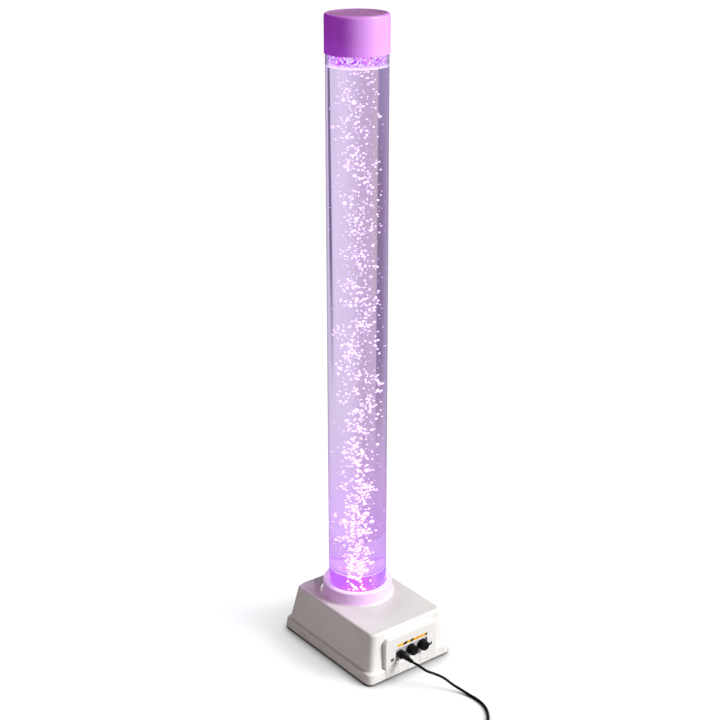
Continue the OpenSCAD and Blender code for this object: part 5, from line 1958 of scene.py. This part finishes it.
@dataclass
class ControlPanel:
    """Metal plate with its two fluted knobs, its screws, its power socket and the legend strip."""

    flutes: int = 18
    flute_depth: float = 0.00055
    skirt: float = 0.0016
    taper: float = 0.0009
    recess: float = 0.0045
    screw_r: float = 0.0024
    screw_dome: float = 0.0011
    slot_half: float = 0.0014
    slot_width: float = 0.0005
    slot_turn: float = 0.35

    def build(self) -> None:
        """Builds the knobs and screws and dresses the rest."""
        self.knob("colour_knob", Body.COLOUR_CONTROL)
        self.knob("bubble_knob", Body.BUBBLE_CONTROL)
        self.screws()
        strip = Extent.of("legend_strip")
        finish = LegendPrint("amber_legend", strip.low[0], strip.low[2], strip.size[0], strip.size[2])
        dress(["legend_strip"], finish)
        dress(["control_plate"], ALUMINIUM)
        dress(["pot_nuts", "jack_nut", "colour_shaft", "bubble_shaft"], STEEL)
        dress(["colour_pot", "bubble_pot"], GREY_PLASTIC)
        dress(["power_jack"], SATIN_BLACK)

    def knob(self, node: str, body: Body) -> None:
        """Fluted knob: a revolved profile whose wall is drawn in at each groove.

        At angle a the radius is r - depth max(0, cos(n a)) ^ 3 times the groove's share at that height.

        Args:
            node: The knob's node in the frame.
            body: Body that it turns with.
        """
        extent = Extent.of(node)
        back_r, length = extent.size[0] / 2, extent.size[1]
        front_r = back_r - self.taper
        hole = back_r - 0.0028
        rounding = arc((front_r - 0.001, length - 0.001), 0.001, 0, 90, 6)
        dish = arc((front_r - 0.0034, length + 0.0012), 0.0017, 330, 270, 4)
        profile = np.vstack([
            [[0.0, self.recess], [hole, self.recess], [hole, 0.0004], [hole + 0.0004, 0.0]],
            [[back_r - 0.0003, 0.0], [back_r, 0.0003], [back_r, self.skirt], [back_r - 0.0004, 0.002]],
            [[back_r - 0.0006, 0.0028]], rounding, dish, [[0.0, length - 0.0005]],
        ])
        r, h = profile.T
        angle = np.linspace(0, FULL_TURN, self.flutes * 10, endpoint=False)
        grooved = (h > 0.0021) & (r > front_r - 0.0009)
        share = np.where(grooved, 1.0, 0.0)[:, None]
        groove = self.flute_depth * np.maximum(0, np.cos(self.flutes * angle)) ** 3
        wall = r[:, None] - share * groove[None, :]
        tall = np.broadcast_to(h[:, None], wall.shape)
        grid = np.stack([wall * np.cos(angle), wall * np.sin(angle), tall], axis=2)
        centre = np.array([extent.centre[0], extent.high[1], extent.centre[2]])
        piece = skin(f"{node}_moulding", Facing.FRONT.place(grid) + centre, capped=False)
        combine(piece, self.pointer(centre, front_r, length), Combine.ADD)
        soften(piece, 38.0)
        settle(piece, body, GLOSSY_BLACK, [node])

    def pointer(self, centre: Array, front_r: float, length: float) -> Piece:
        """Raised line on a knob's face that shows where it points.

        Args:
            centre: Middle of the knob's back.
            front_r: Radius of its face.
            length: Distance from its back to its face.

        Returns:
            The line's solid.
        """
        half = 0.0006
        low = np.array([[-half, front_r * 0.30], [-half, front_r * 0.30], [-half * 0.5, front_r * 0.32]])
        high = np.array([[half, front_r * 0.80], [half, front_r * 0.80], [half * 0.5, front_r * 0.78]])
        heights = np.array([length - 0.002, length - 0.0003, length])
        grid = levels(round_rects(low, high, np.array([0.0004, 0.0004, 0.0002]), 3), heights)
        return skin("pointer", Facing.FRONT.place(grid) + centre)

    def screws(self) -> None:
        """Panel screws: domed heads with a cross slot, at the bottom of their counterbores."""
        extent = Extent.of("panel_screws")
        front, back = -extent.low[1], -extent.high[1]
        neck, shank_r = front - 0.0018, 0.00145
        dome_r = (self.screw_r**2 + self.screw_dome**2) / (2 * self.screw_dome)
        swing = math.degrees(math.asin(self.screw_r / dome_r))
        dome = arc((0.0, front - dome_r), dome_r, 90 - swing, 90, 8)
        profile = np.vstack([
            [[0.0, back], [shank_r, back], [shank_r, neck], [self.screw_r, neck]], dome[:-1], [[0.0, front]],
        ])
        heads = []
        for side in (-1, 1):
            x = extent.centre[0] + side * (extent.size[0] / 2 - 0.003)
            centre = np.array([x, 0.0, extent.centre[2]])
            head = turned("screw_head", profile, centre, 40, Facing.FRONT)
            for turn in (self.slot_turn, self.slot_turn + QUARTER):
                combine(head, self.slot_cut(centre, front, turn), Combine.CUT)
            heads.append(head)
        combine(heads[0], heads[1], Combine.ADD)
        heads[0].name = "panel_screw_heads"
        soften(heads[0], 34.0)
        settle(heads[0], Body.BASE, STEEL, ["panel_screws"])

    def slot_cut(self, centre: Array, front: float, turn: float) -> Piece:
        """Cut for one arm of a screw's cross slot.

        Args:
            centre: Middle of the screw.
            front: Distance of the head's crown in front of the middle plane.
            turn: Angle of the arm.

        Returns:
            The cutter.
        """
        half = np.array([self.slot_half, self.slot_width / 2])
        outline = round_rects(-half, half, 0.0001, 2)[0]
        spin = np.array([[math.cos(turn), math.sin(turn)], [-math.sin(turn), math.cos(turn)]])
        grid = levels(np.stack([outline @ spin] * 2), np.array([front - 0.0009, front + 0.001]))
        return skin("slot", Facing.FRONT.place(grid) + centre)


@dataclass
class PowerCord:
    """Low-voltage cord: ribbed plug, a lead that droops to the floor, a coil and a wall adapter."""

    diameter: float = 0.0045
    coil_centre: tuple[float, float] = (-0.070, -0.400)
    coil_r: float = 0.048
    coil_z: float = 0.0034
    coil_pitch: float = 0.0058
    coil_layer: float = 0.0052
    coil_start: float = 115.0
    coil_in: float = 720.0
    coil_climb: float = 180.0
    coil_out: float = 695.0
    coil_step: float = 15.0
    ribs: int = 7
    rib_depth: float = 0.16
    lead: tuple[Point, ...] = (
        (-0.022, -0.1505, 0.041), (-0.022, -0.1525, 0.041), (-0.022, -0.1555, 0.041),
        (-0.020, -0.162, 0.040), (-0.018, -0.168, 0.038), (-0.0135, -0.177, 0.034),
        (-0.003, -0.186, 0.0285), (0.007, -0.196, 0.0225), (0.0175, -0.210, 0.0115),
        (0.0245, -0.222, 0.0055), (0.0285, -0.238, 0.0026), (0.030, -0.256, 0.0024),
        (0.027, -0.276, 0.0024), (0.017, -0.295, 0.0024), (0.002, -0.311, 0.0024),
        (-0.018, -0.324, 0.0026), (-0.040, -0.335, 0.003), (-0.062, -0.3445, 0.0033),
    )

    def build(self) -> None:
        head = self.plug_head()
        relief = self.plug_relief()
        dress(["plug_tip", "adapter_blades"], STEEL)
        dress(["coil_tie", "adapter_relief"], SOFT_BLACK)
        dress(["adapter_shell"], SATIN_BLACK)
        path = self.route()
        cord = self.curve(path)
        settle(cord, Body.BASE, CORD_BLACK, ["cord_lead", "cord_coil", "cord_tail"])

    def coil(self) -> Array:
        """Points of the coil, spiralling in over one layer and out again over a second.

        At angle t the radius is r - pitch t / 360 on the way in, stays there for the climb, and grows at
        the same rate on the way out, while the height climbs one layer over the climb.
        """
        total = self.coil_in + self.coil_climb + self.coil_out
        t = np.append(np.arange(0.0, total, self.coil_step), total)
        inner = self.coil_r - self.coil_pitch * self.coil_in / 360
        going_in = self.coil_r - self.coil_pitch * t / 360
        going_out = inner + self.coil_pitch * (t - self.coil_in - self.coil_climb) / 360
        radius = np.where(t < self.coil_in, going_in, np.maximum(inner, going_out))
        angle = np.radians(self.coil_start + t)
        height = self.coil_z + self.coil_layer * np.clip((t - self.coil_in) / self.coil_climb, 0, 1)
        x = self.coil_centre[0] + radius * np.cos(angle)
        y = self.coil_centre[1] + radius * np.sin(angle)
        return np.stack([x, y, height], axis=1)

    def route(self) -> Array:
        """Whole route of the cord: the lead, the coil with a straight stub at each end, and the tail."""
        coil = self.coil()
        back = (coil[0] - coil[1]) / np.linalg.norm(coil[0] - coil[1])
        ahead = (coil[-1] - coil[-2]) / np.linalg.norm(coil[-1] - coil[-2])
        relief = Extent.of("adapter_relief")
        end = np.array([relief.low[0], relief.centre[1], relief.centre[2]])
        entry = coil[0] + self.diameter * back
        leave = coil[-1] + self.diameter * ahead
        tail = np.array([end - [0.014, 0.0, 0.003], end - [0.005, 0.0, 0.0], end])
        return np.vstack([self.lead, entry + 0.006 * back, entry, coil, leave, leave + 0.005 * ahead, tail])

    def curve(self, path: Array) -> Piece:
        """Round cord along a route.

        Args:
            path: Points of the route.

        Returns:
            A curve object with the cord's thickness.
        """
        data = bpy.data.curves.new("power_cord", "CURVE")
        data.dimensions = "3D"
        data.bevel_depth = self.diameter / 2
        data.bevel_resolution = 4
        data.resolution_u = 6
        data.use_fill_caps = True
        line = data.splines.new("BEZIER")
        line.bezier_points.add(len(path) - 1)
        line.bezier_points.foreach_set("co", path.ravel())
        for point in line.bezier_points:
            point.handle_left_type = "AUTO"
            point.handle_right_type = "AUTO"
        cord = bpy.data.objects.new("power_cord", data)
        bpy.context.scene.collection.objects.link(cord)
        return cord

    def plug_head(self) -> Piece:
        """Round moulded head of the plug, with its edges rounded."""
        extent = Extent.of("plug_head")
        r, length = extent.size[0] / 2, extent.size[1]
        back = arc((r - 0.0012, 0.0012), 0.0012, 270, 360, 5)
        front = arc((r - 0.0022, length - 0.0022), 0.0022, 0, 90, 7)
        profile = np.vstack([[[0.0, 0.0]], back, front, [[0.0, length]]])
        centre = np.array([extent.centre[0], extent.high[1], extent.centre[2]])
        head = turned("plug_head_moulding", profile, centre, 64, Facing.FRONT)
        soften(head)
        return settle(head, Body.BASE, GLOSSY_BLACK, ["plug_head"])

    def plug_relief(self) -> Piece:
        """Tapered strain relief with a row of grooves: its radius times 1 - depth (0.5 + 0.5 cos wave)^2."""
        extent = Extent.of("plug_relief")
        length = extent.size[1]
        back_r, front_r = extent.size[0] / 2, 0.0032
        z = np.linspace(0, length, 99)
        wave = 0.5 + 0.5 * np.cos(FULL_TURN * self.ribs * z / length)
        plain = back_r + (front_r - back_r) * z / length
        r = np.maximum(plain * (1 - self.rib_depth * wave**2), self.diameter / 2 + 0.0002)
        profile = np.vstack([[[0.0, 0.0]], np.stack([r, z], axis=1), [[0.0, length]]])
        centre = np.array([extent.centre[0], extent.high[1], extent.centre[2]])
        relief = turned("plug_relief_ribs", profile, centre, 48, Facing.FRONT)
        soften(relief, 60.0)
        return settle(relief, Body.BASE, CORD_BLACK, ["plug_relief"])


@dataclass
class Insides:
    """Pieces inside the base that no angle shows closed up, dressed for when the lamp comes apart."""

    def build(self) -> None:
        """Dresses the pump, the air line, the lamp and the boards."""
        dress(["air_pump", "pump_lid", "tube_socket"], GREY_PLASTIC)
        dress(["pump_mounts", "tube_seal"], SOFT_BLACK)
        dress(["lower_hose", "upper_hose"], HOSE)
        dress(["check_valve"], IVORY)
        dress(["air_nozzle", "lamp_screws", "socket_screws"], STEEL)
        dress(["heat_sink"], ALUMINIUM)
        dress(["lamp_spacers"], BRASS)
        dress(["lamp_board"], WHITE_BOARD)
        dress(["lamp_chips"], LAMP_YELLOW)
        dress(["control_board"], GREEN_BOARD)
        dress(["board_parts"], SATIN_BLACK)


def main() -> None:
    """Builds the studio and the lamp."""
    logging.basicConfig(level=logging.INFO, format="%(message)s")
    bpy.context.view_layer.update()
    Studio().build()
    for part in (PowerCord(), MouldedBase(), WaterColumn(), Cap(), ControlPanel(), Insides()):
        LOG.info("building %s", type(part).__name__)
        part.build()


if __name__ == "__main__":
    main()
